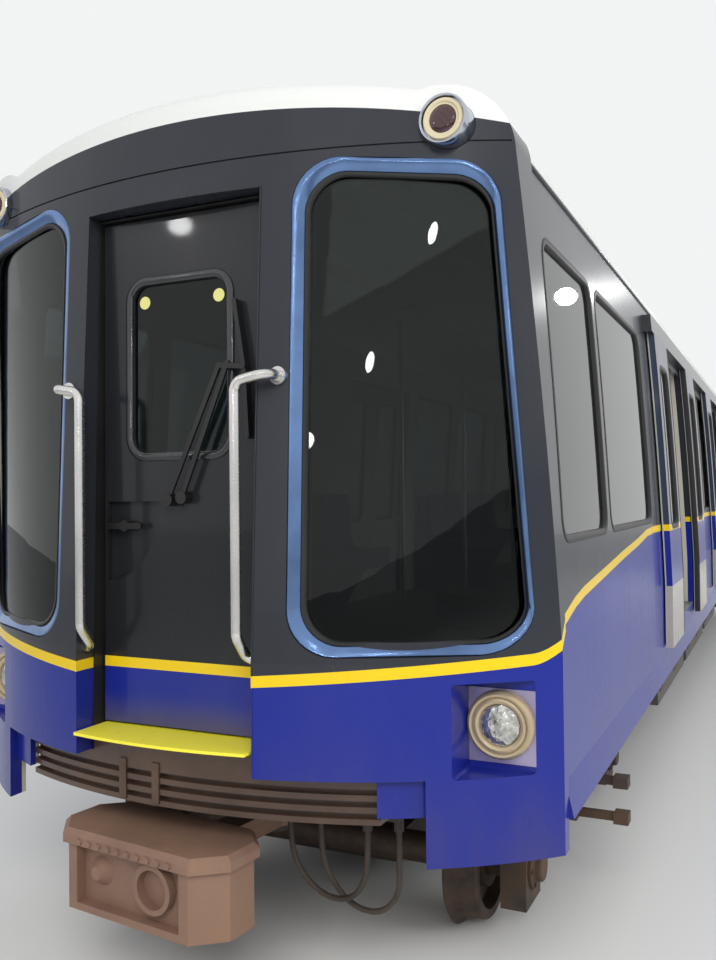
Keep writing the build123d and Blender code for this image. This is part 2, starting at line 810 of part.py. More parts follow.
# End door: a leaf with a window, hinged on the viewer's right and opening inward
latch_pocket_margin = 14.0
latch_pocket_top = level(1698.0) - door_foot
latch_pocket_width = 230.0
latch_pocket_height = 287.0
latch_pocket_depth = 22.0
end_window_centre = level(end_window_bottom_height) + end_window_height / 2 - door_foot
with BuildPart() as end_door:
    with BuildSketch(door_plane):
        Rectangle(door_leaf_width, door_leaf_height, align=(Align.CENTER, Align.MIN))
        with Locations((end_window_x, end_window_centre)):
            RectangleRounded(end_window_width, end_window_height, end_window_radius, mode=Mode.SUBTRACT)
    extrude(amount=-end_door_thickness)
    with BuildSketch(door_plane.offset(-end_pane_depth)):
        with Locations((end_window_x, end_window_centre)):
            RectangleRounded(
                end_window_width - 2 * pane_gap,
                end_window_height - 2 * pane_gap,
                end_window_radius - pane_gap,
            )
    extrude(amount=-pane_thickness, mode=Mode.ADD)
    # a shallow pocket round the latch, straight along its top and its outer side
    with BuildSketch(door_plane):
        with Locations((-door_leaf_width / 2 + latch_pocket_margin, latch_pocket_top)):
            Ellipse(latch_pocket_width, latch_pocket_height)
            Rectangle(
                latch_pocket_width,
                latch_pocket_height,
                align=(Align.MIN, Align.MAX),
                mode=Mode.INTERSECT,
            )
    extrude(amount=-latch_pocket_depth, mode=Mode.SUBTRACT)
    for place in hinge_places:
        with BuildSketch(hinge_plane(place)):
            Circle(hinge_radius)
            with Locations((0, -hinge_offset / 2 - hinge_overlap)):
                Rectangle(hinge_web, hinge_offset + 2 * hinge_overlap)
            Circle(hinge_pin_radius + seat_gap, mode=Mode.SUBTRACT)
        extrude(amount=knuckle_length)
save(end_door.part, "front_end_door")
save(turned(end_door.part), "rear_end_door")

# Wiper and latch on the outer face of the end door
latch_height = level(1610.0) - door_foot
latch_x = -250.0
latch_lever_length = 132.0
latch_lever_width = 22.0
latch_lever_gap = 2.0
latch_reach = 14.0
latch_spindle_radius = 20.0
wiper_pivots = ((-39.0, level(1702.0) - door_foot), (20.0, level(1710.0) - door_foot))
wiper_arm_ends = ((174.0, level(2158.0) - door_foot), (208.0, level(2165.0) - door_foot))
blade_top = (234.0, level(2374.0) - door_foot)
blade_middle = (271.0, level(2148.0) - door_foot)
blade_bottom = (284.0, level(1913.0) - door_foot)
wiper_standoff = 30.0
wiper_boss_radius = 22.0
wiper_arm_width = 17.0
wiper_blade_width = 16.0
wiper_bar_thickness = 10.0
wiper_boss_cap = 4.0
blade_clearance = 10.0
blade_height = 26.0


def bar(start, end, width, near, far):
    """A flat bar on the end door from one point to another, between two heights off its face."""
    length = math.dist(start, end)
    angle = math.degrees(math.atan2(end[1] - start[1], end[0] - start[0]))
    with BuildPart() as flat:
        with BuildSketch(door_plane.offset(near)):
            with Locations(Location(((start[0] + end[0]) / 2, (start[1] + end[1]) / 2, 0), (0, 0, angle))):
                SlotOverall(length + width, width)
        extrude(amount=far - near)
    return flat.part


with BuildPart() as door_fittings:
    with BuildSketch(door_plane):
        with Locations(*wiper_pivots):
            Circle(wiper_boss_radius)
    extrude(amount=wiper_standoff + wiper_bar_thickness + wiper_boss_cap)
    arm_top = wiper_standoff + wiper_bar_thickness
    for start, end in (*zip(wiper_pivots, wiper_arm_ends), (wiper_arm_ends[0], blade_middle)):
        add(bar(start, end, wiper_arm_width, wiper_standoff, arm_top))
    for start, end in ((blade_top, blade_middle), (blade_middle, blade_bottom)):
        add(bar(start, end, wiper_blade_width, blade_clearance, blade_clearance + blade_height))
    # the latch's spindle stands on the bottom of its pocket
    with BuildSketch(door_plane.offset(-latch_pocket_depth)):
        with Locations((latch_x, latch_height)):
            Circle(latch_spindle_radius)
    extrude(amount=latch_pocket_depth + latch_reach)
    lever_half = latch_lever_length / 2
    lever_ends = ((latch_x - lever_half, latch_height), (latch_x + lever_half, latch_height))
    add(bar(*lever_ends, latch_lever_width, latch_lever_gap, latch_reach))
save(door_fittings.part, "front_door_fittings")
save(turned(door_fittings.part), "rear_door_fittings")

# Sill plates in front of the end doors, with a curved front edge
sill_half = end_door_opening / 2 - sill_plate_side_gap
sill_corner_y = -half_length + sill_plate_corner_setback
with BuildPart() as front_sill:
    with BuildSketch(Plane.XY.offset(level(sill_plate_height) - sill_plate_thickness)):
        with BuildLine():
            ThreePointArc(
                (-sill_half, sill_corner_y),
                (0, -half_length - sill_plate_reach),
                (sill_half, sill_corner_y),
            )
            Polyline(
                (sill_half, sill_corner_y),
                (sill_half, sill_back_y),
                (-sill_half, sill_back_y),
                (-sill_half, sill_corner_y),
            )
        make_face()
    extrude(amount=sill_plate_thickness)
with BuildPart() as sill_plates:
    add(front_sill.part)
    add(turned(front_sill.part))
save(sill_plates.part, "sill_plates")

# Bumpers: curved ribbed beams under the end panels, raised under the doorway sill
def bumper_plan(setback):
    """The plan of the bumper, its front edge an arc set back by a distance."""
    front = -half_length + setback
    with BuildSketch() as plan:
        with BuildLine():
            ThreePointArc(
                (-bumper_half_width, front + bumper_end_setback - bumper_nose_setback),
                (0, front),
                (bumper_half_width, front + bumper_end_setback - bumper_nose_setback),
            )
            Polyline(
                (bumper_half_width, front + bumper_end_setback - bumper_nose_setback),
                (bumper_half_width, -half_length + bumper_end_setback + bumper_depth),
                (-bumper_half_width, -half_length + bumper_end_setback + bumper_depth),
                (-bumper_half_width, front + bumper_end_setback - bumper_nose_setback),
            )
        make_face()
    return plan.sketch


bumper_pitch = (bumper_top_height - bumper_bottom_height) / bumper_ribs
groove_height = bumper_pitch / 2
with BuildPart() as front_bumper:
    with BuildSketch(Plane.XY.offset(level(bumper_bottom_height))):
        add(bumper_plan(bumper_nose_setback))
    extrude(amount=bumper_top_height - bumper_bottom_height)
    for rib in range(bumper_ribs - 1):
        groove_bottom = bumper_bottom_height + (rib + 1) * bumper_pitch - groove_height
        with BuildSketch(Plane.XY.offset(level(groove_bottom))):
            Rectangle(4 * bumper_half_width, 2 * body_length)
            add(bumper_plan(bumper_nose_setback + bumper_groove), mode=Mode.SUBTRACT)
        extrude(amount=groove_height, mode=Mode.SUBTRACT)
    with BuildSketch(Plane.XY.offset(level(bumper_top_height))):
        add(bumper_plan(bumper_nose_setback))
        with Locations((0, sill_back_y)):
            Rectangle(2 * sill_half, 600, align=(Align.CENTER, Align.MAX), mode=Mode.INTERSECT)
    extrude(amount=sill_plate_height - sill_plate_thickness - bumper_top_height)
with BuildPart() as bumpers:
    add(front_bumper.part)
    add(turned(front_bumper.part))
save(bumpers.part, "bumpers")

# Handrails beside the end doorway, from the end panel to the doorway frame
def nose_y(x, height):
    """Where the end face lies at one place across and one height."""
    lift = max(0.0, height - waist_height)
    share = lift / (nose_top_height - waist_height)
    radius = nose_radius + (nose_top_radius - nose_radius) * share
    return -half_length + nose_rake * lift + radius - math.sqrt(radius ** 2 - x ** 2)


def handrail(side):
    """One tube: out of the panel at the top, down past the doorway edge and back into the frame."""
    top_face_y = nose_y(handrail_mount_x, handrail_top_height)
    rail_y = -half_length + handrail_setback
    foot_y = -half_length + handrail_foot_setback
    with BuildPart() as panel:
        add(nose_solid(0, cap_proud))
        with Locations((0, -half_length, 0)):
            Box(end_door_opening, 4 * end_door_setback, 2 * end_door_top_height, mode=Mode.SUBTRACT)
    with BuildPart() as rail:
        with BuildLine() as path:
            FilletPolyline(
                (side * handrail_mount_x, top_face_y + handrail_root, level(handrail_top_height)),
                (side * handrail_mount_x, rail_y, level(handrail_top_height)),
                (side * handrail_x, rail_y, level(handrail_top_height - handrail_top_slope)),
                (side * handrail_x, rail_y, level(handrail_bend_height)),
                (side * (handrail_x + handrail_foot_spread), foot_y, level(handrail_bottom_height)),
                (side * (end_door_opening / 2 - seat_gap), foot_y, level(handrail_bottom_height)),
                radius=(handrail_bend, handrail_bend, handrail_bend, handrail_foot_bend),
            )
        with BuildSketch(Plane(origin=path.line @ 0, z_dir=path.line % 0)):
            Circle(handrail_radius)
        sweep()
        with BuildSketch(Plane.XZ.offset(-top_face_y - handrail_boss_reach)):
            with Locations((side * handrail_mount_x, level(handrail_top_height))):
                Circle(handrail_radius + handrail_boss_rim)
        extrude(amount=2 * handrail_boss_reach)
        add(panel.part, mode=Mode.SUBTRACT)
    return rail.part


with BuildPart() as front_rails:
    add(handrail(-1))
    add(handrail(1))
with BuildPart() as handrails:
    add(front_rails.part)
    add(turned(front_rails.part))
save(handrails.part, "handrails")

# Lamps: headlights on their square plates, and round marker lamps in the brow
with BuildPart() as front_lamps:
    with BuildSketch(Plane.XZ.offset(half_length - headlight_plate_setback)):
        for side in (-1, 1):
            with Locations((side * headlight_x, level(headlight_height))):
                Circle(headlight_radius)
    extrude(amount=headlight_depth)
    with BuildSketch(Plane.XZ.offset(half_length - marker_setback - marker_depth)):
        for side in (-1, 1):
            with Locations((side * marker_x, level(marker_height))):
                Circle(marker_radius)
    extrude(amount=marker_depth)
with BuildPart() as lamps:
    add(front_lamps.part)
    add(turned(front_lamps.part))
save(lamps.part, "lamps")

# Door rails: a cover strip along each side that the door leaves hang from
rail_half_length = doorway_spacing / 2 + doorway_width + 2 * leaf_overlap + rail_margin
with BuildPart() as door_rails:
    with BuildSketch(Plane.XZ.offset(-rail_half_length)):
        add(body_outline(leaf_wall_gap + leaf_thickness, side_bottom_height))
        add(body_outline(0, side_bottom_height - cut_margin / 2), mode=Mode.SUBTRACT)
        with Locations((0, level(leaf_top_height) + seat_gap + rail_cover_height / 2)):
            Rectangle(4 * waist_half_width, rail_cover_height, mode=Mode.INTERSECT)
    extrude(amount=2 * rail_half_length)
save(door_rails.part, "door_rails")


def door_leaf(side, start, end):
    """One side door leaf outside the wall, curved like the body side, with its pane."""
    window_middle = level((leaf_window_bottom_height + leaf_window_top_height) / 2)
    window_height = leaf_window_top_height - leaf_window_bottom_height
    leaf_middle = level((leaf_bottom_height + leaf_top_height) / 2)
    centre = (start + end) / 2
    inner = leaf_wall_gap
    outer = leaf_wall_gap + leaf_thickness
    pane_inner = inner + (leaf_thickness - pane_thickness) / 2
    with BuildPart() as leaf:
        with BuildSketch(Plane.XZ.offset(-end)):
            add(body_outline(outer, side_bottom_height))
            add(body_outline(inner, side_bottom_height - cut_margin / 2), mode=Mode.SUBTRACT)
        extrude(amount=end - start)
        with BuildSketch(Plane.YZ):
            with Locations((centre, leaf_middle)):
                Rectangle(end - start, leaf_top_height - leaf_bottom_height)
            with Locations((centre, window_middle)):
                RectangleRounded(leaf_window_width, window_height, leaf_window_radius, mode=Mode.SUBTRACT)
        extrude(amount=side * 2 * waist_half_width, mode=Mode.INTERSECT)
    with BuildPart() as pane:
        with BuildSketch(Plane.XZ.offset(-end)):
            add(body_outline(pane_inner + pane_thickness, side_bottom_height))
            add(body_outline(pane_inner, side_bottom_height - cut_margin / 2), mode=Mode.SUBTRACT)
        extrude(amount=end - start)
        with BuildSketch(Plane.YZ):
            with Locations((centre, window_middle)):
                RectangleRounded(
                    leaf_window_width - 2 * pane_gap,
                    window_height - 2 * pane_gap,
                    leaf_window_radius - pane_gap,
                )
        extrude(amount=side * 2 * waist_half_width, mode=Mode.INTERSECT)
    with BuildPart() as both:
        add(leaf.part)
        add(pane.part)
    return both.part


# Doors: the right side stands open, the left side is closed
for side, side_name, rest_opening in ((1, "right", leaf_travel), (-1, "left", 0.0)):
    for centre, doorway_name in zip(door_centres, ("front", "rear")):
        for way, leaf_name in ((-1, "fore"), (1, "aft")):
            near_edge = centre + way * (leaf_meeting_gap / 2 + rest_opening)
            far_edge = near_edge + way * leaf_width
            leaf = door_leaf(side, min(near_edge, far_edge), max(near_edge, far_edge))
            save(leaf, f"door_{side_name}_{doorway_name}_{leaf_name}")

# Seats: long benches with their backs to the sides, clear of the doorways
bench_back_x = waist_half_width - wall_thickness - bench_wall_gap
bench_door_y = doorway_width / 2 + bench_door_margin
back_front_x = bench_back_x - seat_back_thickness
seat_top_height = floor_height + seat_height
bench_spans = (
    # start and end along the car
    (-cap_edge + bench_end_margin, -doorway_spacing / 2 - bench_door_y),
    (-doorway_spacing / 2 + bench_door_y, doorway_spacing / 2 - bench_door_y),
    (doorway_spacing / 2 + bench_door_y, cap_edge - bench_end_margin),
)
with BuildPart() as seats:
    for side in (-1, 1):
        for start, end in bench_spans:
            with BuildSketch(Plane.XZ.offset(-end)):
                with BuildLine():
                    Polyline(
                        (side * (bench_back_x - bench_foot_depth), level(floor_height)),
                        (side * bench_back_x, level(floor_height)),
                        (side * bench_back_x, level(floor_height + seat_height)),
                        (side * (bench_back_x - bench_slope), level(floor_height + seat_back_height)),
                        (side * back_front_x, level(floor_height + seat_back_height)),
                        (side * (back_front_x - bench_slope), level(seat_top_height)),
                        (side * (bench_back_x - seat_depth), level(seat_top_height)),
                        (side * (bench_back_x - seat_depth), level(seat_top_height - seat_cushion)),
                        (side * (bench_back_x - bench_plinth_depth), level(seat_top_height - seat_cushion)),
                        close=True,
                    )
                make_face()
            extrude(amount=end - start)
save(seats.part, "seats")

# Grab poles from floor to ceiling beside the doorways
pole_offset = doorway_width / 2 + pole_door_margin
with BuildPart() as grab_poles:
    for side in (-1, 1):
        for centre in door_centres:
            for way in (-1, 1):
                with Locations((side * pole_x, centre + way * pole_offset, level(floor_height))):
                    Cylinder(pole_radius, crown_height, align=(Align.CENTER, Align.CENTER, Align.MIN))
    with BuildSketch(Plane.XZ.offset(-cap_edge)):
        add(body_outline(-wall_thickness - seat_gap, side_bottom_height - cut_margin / 2))
    extrude(amount=2 * cap_edge, mode=Mode.INTERSECT)
save(grab_poles.part, "grab_poles")

# Equipment boxes hung from the cross beams between the bogies
equipment_places = (
    # x from, x to, share of the length from, share to, bottom height
    (-1120, -420, -1, -0.12, 300),
    (-1120, -420, -0.04, 1, 330),
    (420, 1120, -1, -0.36, 320),
    (420, 1120, -0.28, 0.36, 290),
    (420, 1120, 0.44, 1, 330),
)
with BuildPart() as equipment:
    for x_low, x_high, share_low, share_high, bottom in equipment_places:
        y_low = share_low * equipment_half_length
        y_high = share_high * equipment_half_length
        with Locations(((x_low + x_high) / 2, (y_low + y_high) / 2, level(bottom))):
            Box(
                x_high - x_low,
                y_high - y_low,
                beam_bottom_height - bottom,
                align=(Align.CENTER, Align.CENTER, Align.MIN),
            )
    chamfer(equipment.edges().filter_by(Axis.Y).group_by(Axis.Z)[0], equipment_chamfer)
save(equipment.part, "equipment")

# Wheelsets: an axle with two flanged wheels and a journal at each end, as one piece
axle_height = wheel_radius
wheel_back_x = wheel_back_to_back / 2
journal_end_x = frame_outer_x + journal_reach
wheel_profile = (
    # distance from the car's centre line, radius
    (0, 0),
    (0, axle_radius),
    (wheel_back_x - 30, axle_radius),
    (wheel_back_x - 30, axle_radius + 45),
    (wheel_back_x + 20, axle_radius + 50),
    (wheel_back_x + 20, wheel_radius - 45),
    (wheel_back_x, wheel_radius - 40),
    (wheel_back_x, wheel_radius + flange_depth - 8),
    (wheel_back_x + 8, wheel_radius + flange_depth),
    (wheel_back_x + 18, wheel_radius + flange_depth - 6),
    (wheel_back_x + flange_width, wheel_radius + 4),
    (wheel_back_x + flange_width + 12, wheel_radius),
    (wheel_back_x + wheel_width - 8, wheel_radius - tread_drop),
    (wheel_back_x + wheel_width, wheel_radius - tread_drop - 8),
    (wheel_back_x + wheel_width, wheel_radius - 45),
    (wheel_back_x + 75, wheel_radius - 50),
    (wheel_back_x + 75, axle_radius + 50),
    (wheel_back_x + 120, axle_radius + 45),
    (wheel_back_x + 120, axle_radius),
    (frame_inner_x - journal_shoulder, axle_radius),
    (frame_inner_x - journal_shoulder, journal_radius),
    (journal_end_x, journal_radius),
    (journal_end_x, 0),
)


def wheelset(place):
    """One wheelset at a place along the car."""
    with BuildPart() as half:
        with BuildSketch(Plane.XZ):
            with BuildLine():
                Polyline(wheel_profile, close=True)
            make_face()
        revolve(axis=Axis.X)
    with BuildPart() as whole:
        add(half.part)
        mirror(about=Plane.YZ)
    return whole.part.moved(Location((0, place, level(axle_height))))


axle_places = (
    ("wheelset_1", -bogie_y - wheelbase / 2),
    ("wheelset_2", -bogie_y + wheelbase / 2),
    ("wheelset_3", bogie_y - wheelbase / 2),
    ("wheelset_4", bogie_y + wheelbase / 2),
)
for name, place in axle_places:
    save(wheelset(place), name)

# Bogie frame: side beams outside the wheels with axle boxes, a transom and the centre pivot
frame_mid_x = (frame_inner_x + frame_outer_x) / 2
axle_box_height = 2 * (frame_top_height - frame_beam_height - axle_height + axle_box_margin)
shoe_tip_length = shoe_tip_size[0]
with BuildPart() as bogie:
    for side in (-1, 1):
        with Locations((side * frame_mid_x, 0, level(frame_top_height - frame_beam_height))):
            Box(
                frame_beam_width,
                wheelbase + 2 * frame_overhang,
                frame_beam_height,
                align=(Align.CENTER, Align.CENTER, Align.MIN),
            )
        for way in (-1, 1):
            with Locations((side * frame_mid_x, way * wheelbase / 2, level(axle_height))):
                Box(frame_beam_width, axle_box_size, axle_box_height)
    with Locations((0, 0, level(transom_bottom_height))):
        Box(
            2 * frame_mid_x,
            2 * transom_half_width,
            frame_top_height - transom_bottom_height,
            align=(Align.CENTER, Align.CENTER, Align.MIN),
        )
    with Locations((0, 0, level(frame_top_height))):
        Cylinder(
            pivot_radius,
            bolster_bottom_height - frame_top_height - seat_gap,
            align=(Align.CENTER, Align.CENTER, Align.MIN),
        )
    # collector shoe arms on both sides, reaching out to the power rails
    shoe_y = bogie_setback - shoe_setback
    for side, way in ((1, -1), (-1, 1)):
        bracket_x = frame_outer_x + shoe_bracket_size[0] / 2
        with Locations((side * bracket_x, way * shoe_y, level(sum(shoe_heights) / 2))):
            Box(*shoe_bracket_size)
        for height in shoe_heights:
            arm_length = shoe_x - shoe_tip_length - frame_outer_x
            with Locations((side * (frame_outer_x + arm_length / 2), way * shoe_y, level(height))):
                Box(arm_length, *shoe_arm_size)
            with Locations((side * (shoe_x - shoe_tip_length / 2), way * shoe_y, level(height))):
                Box(*shoe_tip_size)
    for way in (-1, 1):
        with Locations((0, way * wheelbase / 2, level(axle_height))):
            Cylinder(
                journal_radius + journal_clearance,
                4 * frame_outer_x,
                rotation=(0, 90, 0),
                mode=Mode.SUBTRACT,
            )
save(bogie.part.moved(Location((0, -bogie_y, 0))), "front_bogie_frame")
save(turned(bogie.part.moved(Location((0, -bogie_y, 0)))), "rear_bogie_frame")

# Linear motor: a closed flat block between the axles, hung from the transom
with BuildPart() as motor:
    with Locations((0, 0, level(motor_bottom_height))):
        Box(
            motor_width,
            motor_length,
            motor_top_height - motor_bottom_height,
            align=(Align.CENTER, Align.CENTER, Align.MIN),
        )
    for side in (-1, 1):
        with Locations((side * motor_width / 3, 0, level(motor_top_height))):
            Box(
                *motor_hanger_size,
                transom_bottom_height - motor_top_height,
                align=(Align.CENTER, Align.CENTER, Align.MIN),
            )
save(motor.part.moved(Location((0, -bogie_y, 0))), "front_motor")
save(motor.part.moved(Location((0, bogie_y, 0))), "rear_motor")

# Couplers: a box-shaped head, a drawbar and an eye that turns on the underframe's pin
head_front = -half_length - coupler_nose_reach
head_bottom = coupler_top_height - coupler_box_height
eye_y = -coupler_pivot_y
lid_bottom = coupler_top_height - coupler_lid_height
drawbar_front = head_front + coupler_box_length - 2 * coupler_lid_overhang
with BuildPart() as coupler:
    # the box under its lid, which overhangs it all round
    for bottom, top, inset in (
        (head_bottom, lid_bottom, coupler_lid_overhang),
        (lid_bottom, coupler_top_height, 0),
    ):
        with BuildSketch(Plane.XY.offset(level(bottom))) as plan:
            with Locations((0, head_front + coupler_box_length / 2)):
                Rectangle(2 * (coupler_half_width - inset), coupler_box_length - 2 * inset)
            chamfer(plan.vertices(), coupler_corner)
        extrude(amount=top - bottom)
    chamfer(coupler.faces().sort_by(Axis.Z)[-1].edges(), coupler_lid_bevel)
    # the face lies back between two posts and over a lower lip
    with Locations((0, head_front, level(head_bottom + coupler_lip_height))):
        Box(
            2 * coupler_pocket_half_width,
            2 * coupler_pocket_depth,
            lid_bottom - head_bottom - coupler_lip_height,
            align=(Align.CENTER, Align.CENTER, Align.MIN),
            mode=Mode.SUBTRACT,
        )
    feature_plane = Plane.XZ.offset(-(head_front + coupler_pocket_depth))
    with BuildSketch(feature_plane):
        with Locations((coupler_cone_x, level(coupler_mid_height))):
            Circle(coupler_cone_radius)
    extrude(amount=coupler_feature_depth, taper=coupler_cone_taper)
    with BuildSketch(feature_plane):
        with Locations((coupler_socket_x, level(coupler_mid_height))):
            Circle(coupler_socket_radius)
            Circle(coupler_socket_radius - coupler_socket_wall, mode=Mode.SUBTRACT)
    extrude(amount=coupler_feature_depth)
    with Locations((0, (drawbar_front + eye_y) / 2, level(coupler_mid_height))):
        Box(2 * drawbar_half_width, eye_y - drawbar_front, eye_thickness)
    with Locations((0, eye_y, level(coupler_mid_height))):
        Cylinder(coupler_eye_radius, eye_thickness)
        Hole(coupler_pin_radius + seat_gap, depth=2 * eye_thickness)
rest_coupler = coupler.part.rotate(Axis((0, eye_y, 0), (0, 0, 1)), coupler_rest_swing)
save(rest_coupler, "front_coupler")
save(turned(rest_coupler), "rear_coupler")
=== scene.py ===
# %% [markdown]
# # A light metro car, dressed for looking at
# The car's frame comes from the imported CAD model: every panel, door, wheel and seat is already in its
# place. This file gives that frame its finishes and adds the small things that CAD leaves out, such as
# window surrounds, lamp rings, bolts and the shells of the seats. All sizes are in metres. The car runs
# along Y, its front is at -Y, Z is up, and the floor is at Z = 0.

import json
import math

import bmesh
import bpy
from mathutils import Matrix, Vector

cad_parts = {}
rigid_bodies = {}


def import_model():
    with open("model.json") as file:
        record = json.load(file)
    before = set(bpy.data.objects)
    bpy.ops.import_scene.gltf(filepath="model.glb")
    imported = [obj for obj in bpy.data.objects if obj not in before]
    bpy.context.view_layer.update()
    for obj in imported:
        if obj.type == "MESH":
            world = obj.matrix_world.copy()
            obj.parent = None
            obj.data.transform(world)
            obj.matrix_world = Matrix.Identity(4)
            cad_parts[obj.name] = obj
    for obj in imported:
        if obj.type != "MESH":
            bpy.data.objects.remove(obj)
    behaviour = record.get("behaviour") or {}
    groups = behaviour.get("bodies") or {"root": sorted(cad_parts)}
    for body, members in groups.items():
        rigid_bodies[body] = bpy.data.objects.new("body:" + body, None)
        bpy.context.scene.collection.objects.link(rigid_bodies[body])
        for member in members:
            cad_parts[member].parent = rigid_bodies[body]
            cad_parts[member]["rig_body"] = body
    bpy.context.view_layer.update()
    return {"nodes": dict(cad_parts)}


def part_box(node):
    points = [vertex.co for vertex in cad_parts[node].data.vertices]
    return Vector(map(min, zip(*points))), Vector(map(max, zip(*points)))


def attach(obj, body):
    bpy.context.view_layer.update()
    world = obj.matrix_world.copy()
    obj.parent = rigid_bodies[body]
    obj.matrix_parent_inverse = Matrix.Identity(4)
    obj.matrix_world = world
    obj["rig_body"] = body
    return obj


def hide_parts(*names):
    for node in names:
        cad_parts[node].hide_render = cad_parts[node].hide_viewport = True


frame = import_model()
nodes = frame["nodes"]

# %% [markdown]
# ## The camera
# The camera stands to the right of the car's middle as one faces it, about 2.5 m in front of the end and
# at eye height. The camera could be aimed with a track constraint, but
# the small roll would be lost, so its three directions are worked out from yaw, pitch and roll.

# %% Camera
camera_place = Vector((1.919, -8.771, 1.741))
yaw, pitch, roll = math.radians(25.142), math.radians(0.931), math.radians(-0.589)
forward = Vector((-math.sin(yaw) * math.cos(pitch), math.cos(yaw) * math.cos(pitch), math.sin(pitch)))
level_right = Vector((math.cos(yaw), math.sin(yaw), 0))
level_up = level_right.cross(forward)
right = math.cos(roll) * level_right + math.sin(roll) * level_up
up = math.cos(roll) * level_up - math.sin(roll) * level_right
camera_data = bpy.data.cameras.new("camera")
camera_data.sensor_width = 36
camera_data.lens = 34.46
camera = bpy.data.objects.new("camera", camera_data)
bpy.context.scene.collection.objects.link(camera)
camera.matrix_world = Matrix.Translation(camera_place) @ Matrix((right, up, -forward)).transposed().to_4x4()
bpy.context.scene.camera = camera
print("camera looks along", [round(value, 3) for value in forward])

# %% [markdown]
# ## The hoses
# Two rubber hoses hang in loops under each end, beside the coupler. A hose has a fixed length and
# hangs under its own weight, so each is one smooth NURBS curve: out of a gland, down, across and up
# again into the next gland.

# %% Hoses
hose_routes = {
    "hose_1": (
        (0.300, -5.912, 0.598), (0.300, -5.912, 0.500), (0.340, -5.902, 0.405), (0.428, -5.894, 0.335),
        (0.532, -5.896, 0.345), (0.590, -5.904, 0.430), (0.600, -5.912, 0.520), (0.600, -5.912, 0.598),
    ),
    "hose_2": (
        (0.400, -5.874, 0.598), (0.400, -5.874, 0.490), (0.425, -5.848, 0.380), (0.500, -5.832, 0.292),
        (0.606, -5.830, 0.282), (0.684, -5.842, 0.358), (0.700, -5.874, 0.470), (0.700, -5.874, 0.598),
    ),
}
hose_diameter = 0.020
hoses = []
for end, way in (("front", 1), ("rear", -1)):
    for name, route in hose_routes.items():
        curve = bpy.data.curves.new(f"{end}_{name}_line", "CURVE")
        curve.dimensions = "3D"
        curve.bevel_depth = hose_diameter / 2
        curve.bevel_resolution = 5
        curve.resolution_u = 16
        spline = curve.splines.new("NURBS")
        spline.points.add(len(route) - 1)
        for point, (x, y, z) in zip(spline.points, route):
            point.co = (way * x, way * y, z, 1)
        spline.order_u = 3
        spline.use_endpoint_u = True
        hose = bpy.data.objects.new(f"{end}_{name}_rubber", curve)
        bpy.context.scene.collection.objects.link(hose)
        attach(hose, "carbody")
        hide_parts(f"{end}_{name}")
        start = Vector((way * route[0][0], way * route[0][1], route[0][2]))
        hoses.append(hose)
print("hoses", len(hoses))

# %% [markdown]
# ## Floor and light
# The car stands on a plain pale floor. A big soft light above and in front, weaker ones on the other
# sides, and an even pale sky show the colours about as they are mixed. The sky is drawn nearly white for
# the camera, for reflections and through glass, and lights the car more gently than it looks. The big
# lights would show as white sheets in the windscreens, so they are left out of reflections. Six small
# lamps take their place there: each is a bright spot in glass or paint, as in a depot's hall.

# %% Floor, sky and lights
def plain_mesh(name, points, faces):
    mesh = bpy.data.meshes.new(name)
    mesh.from_pydata(points, [], faces)
    thing = bpy.data.objects.new(name, mesh)
    bpy.context.scene.collection.objects.link(thing)
    return thing


floor = plain_mesh("studio_floor", [(-60, -60, 0), (60, -60, 0), (60, 60, 0), (-60, 60, 0)], [(0, 1, 2, 3)])
floor_material = bpy.data.materials.new("studio_floor")
floor_material.use_nodes = True
floor_shader = floor_material.node_tree.nodes["Principled BSDF"]
floor_shader.inputs["Base Color"].default_value = (0.80, 0.80, 0.79, 1)
floor_shader.inputs["Roughness"].default_value = 0.7
floor.data.materials.append(floor_material)

world = bpy.data.worlds.new("studio_sky")
bpy.context.scene.world = world
world.use_nodes = True
sky_nodes = world.node_tree.nodes
sky_links = world.node_tree.links
sky_nodes.clear()
sky_output = sky_nodes.new("ShaderNodeOutputWorld")
light_path = sky_nodes.new("ShaderNodeLightPath")
lighting = sky_nodes.new("ShaderNodeBackground")
lighting.inputs["Color"].default_value = (0.93, 0.96, 1.0, 1)
lighting.inputs["Strength"].default_value = 0.42
backdrop = sky_nodes.new("ShaderNodeBackground")
backdrop.inputs["Color"].default_value = (0.94, 0.945, 0.95, 1)
backdrop.inputs["Strength"].default_value = 0.95
pick = sky_nodes.new("ShaderNodeMixShader")
in_mirror = sky_nodes.new("ShaderNodeMath")
in_mirror.operation = "MAXIMUM"
sky_links.new(light_path.outputs["Is Glossy Ray"], in_mirror.inputs[0])
sky_links.new(light_path.outputs["Is Transmission Ray"], in_mirror.inputs[1])
seen = sky_nodes.new("ShaderNodeMath")
seen.operation = "MAXIMUM"
sky_links.new(light_path.outputs["Is Camera Ray"], seen.inputs[0])
sky_links.new(in_mirror.outputs[0], seen.inputs[1])
sky_links.new(seen.outputs[0], pick.inputs[0])
sky_links.new(lighting.outputs[0], pick.inputs[1])
sky_links.new(backdrop.outputs[0], pick.inputs[2])
sky_links.new(pick.outputs[0], sky_output.inputs["Surface"])


def soft_light(name, place, target, size, power, colour=(1, 1, 1), mirrored=False):
    lamp = bpy.data.lights.new(name, "AREA")
    lamp.shape = "ELLIPSE" if mirrored else "RECTANGLE"
    lamp.size, lamp.size_y = size
    lamp.energy = power
    lamp.color = colour
    holder = bpy.data.objects.new(name, lamp)
    holder.location = place
    holder.rotation_euler = (Vector(target) - Vector(place)).to_track_quat("-Z", "Y").to_euler()
    holder.visible_camera = False
    holder.visible_glossy = mirrored
    bpy.context.scene.collection.objects.link(holder)


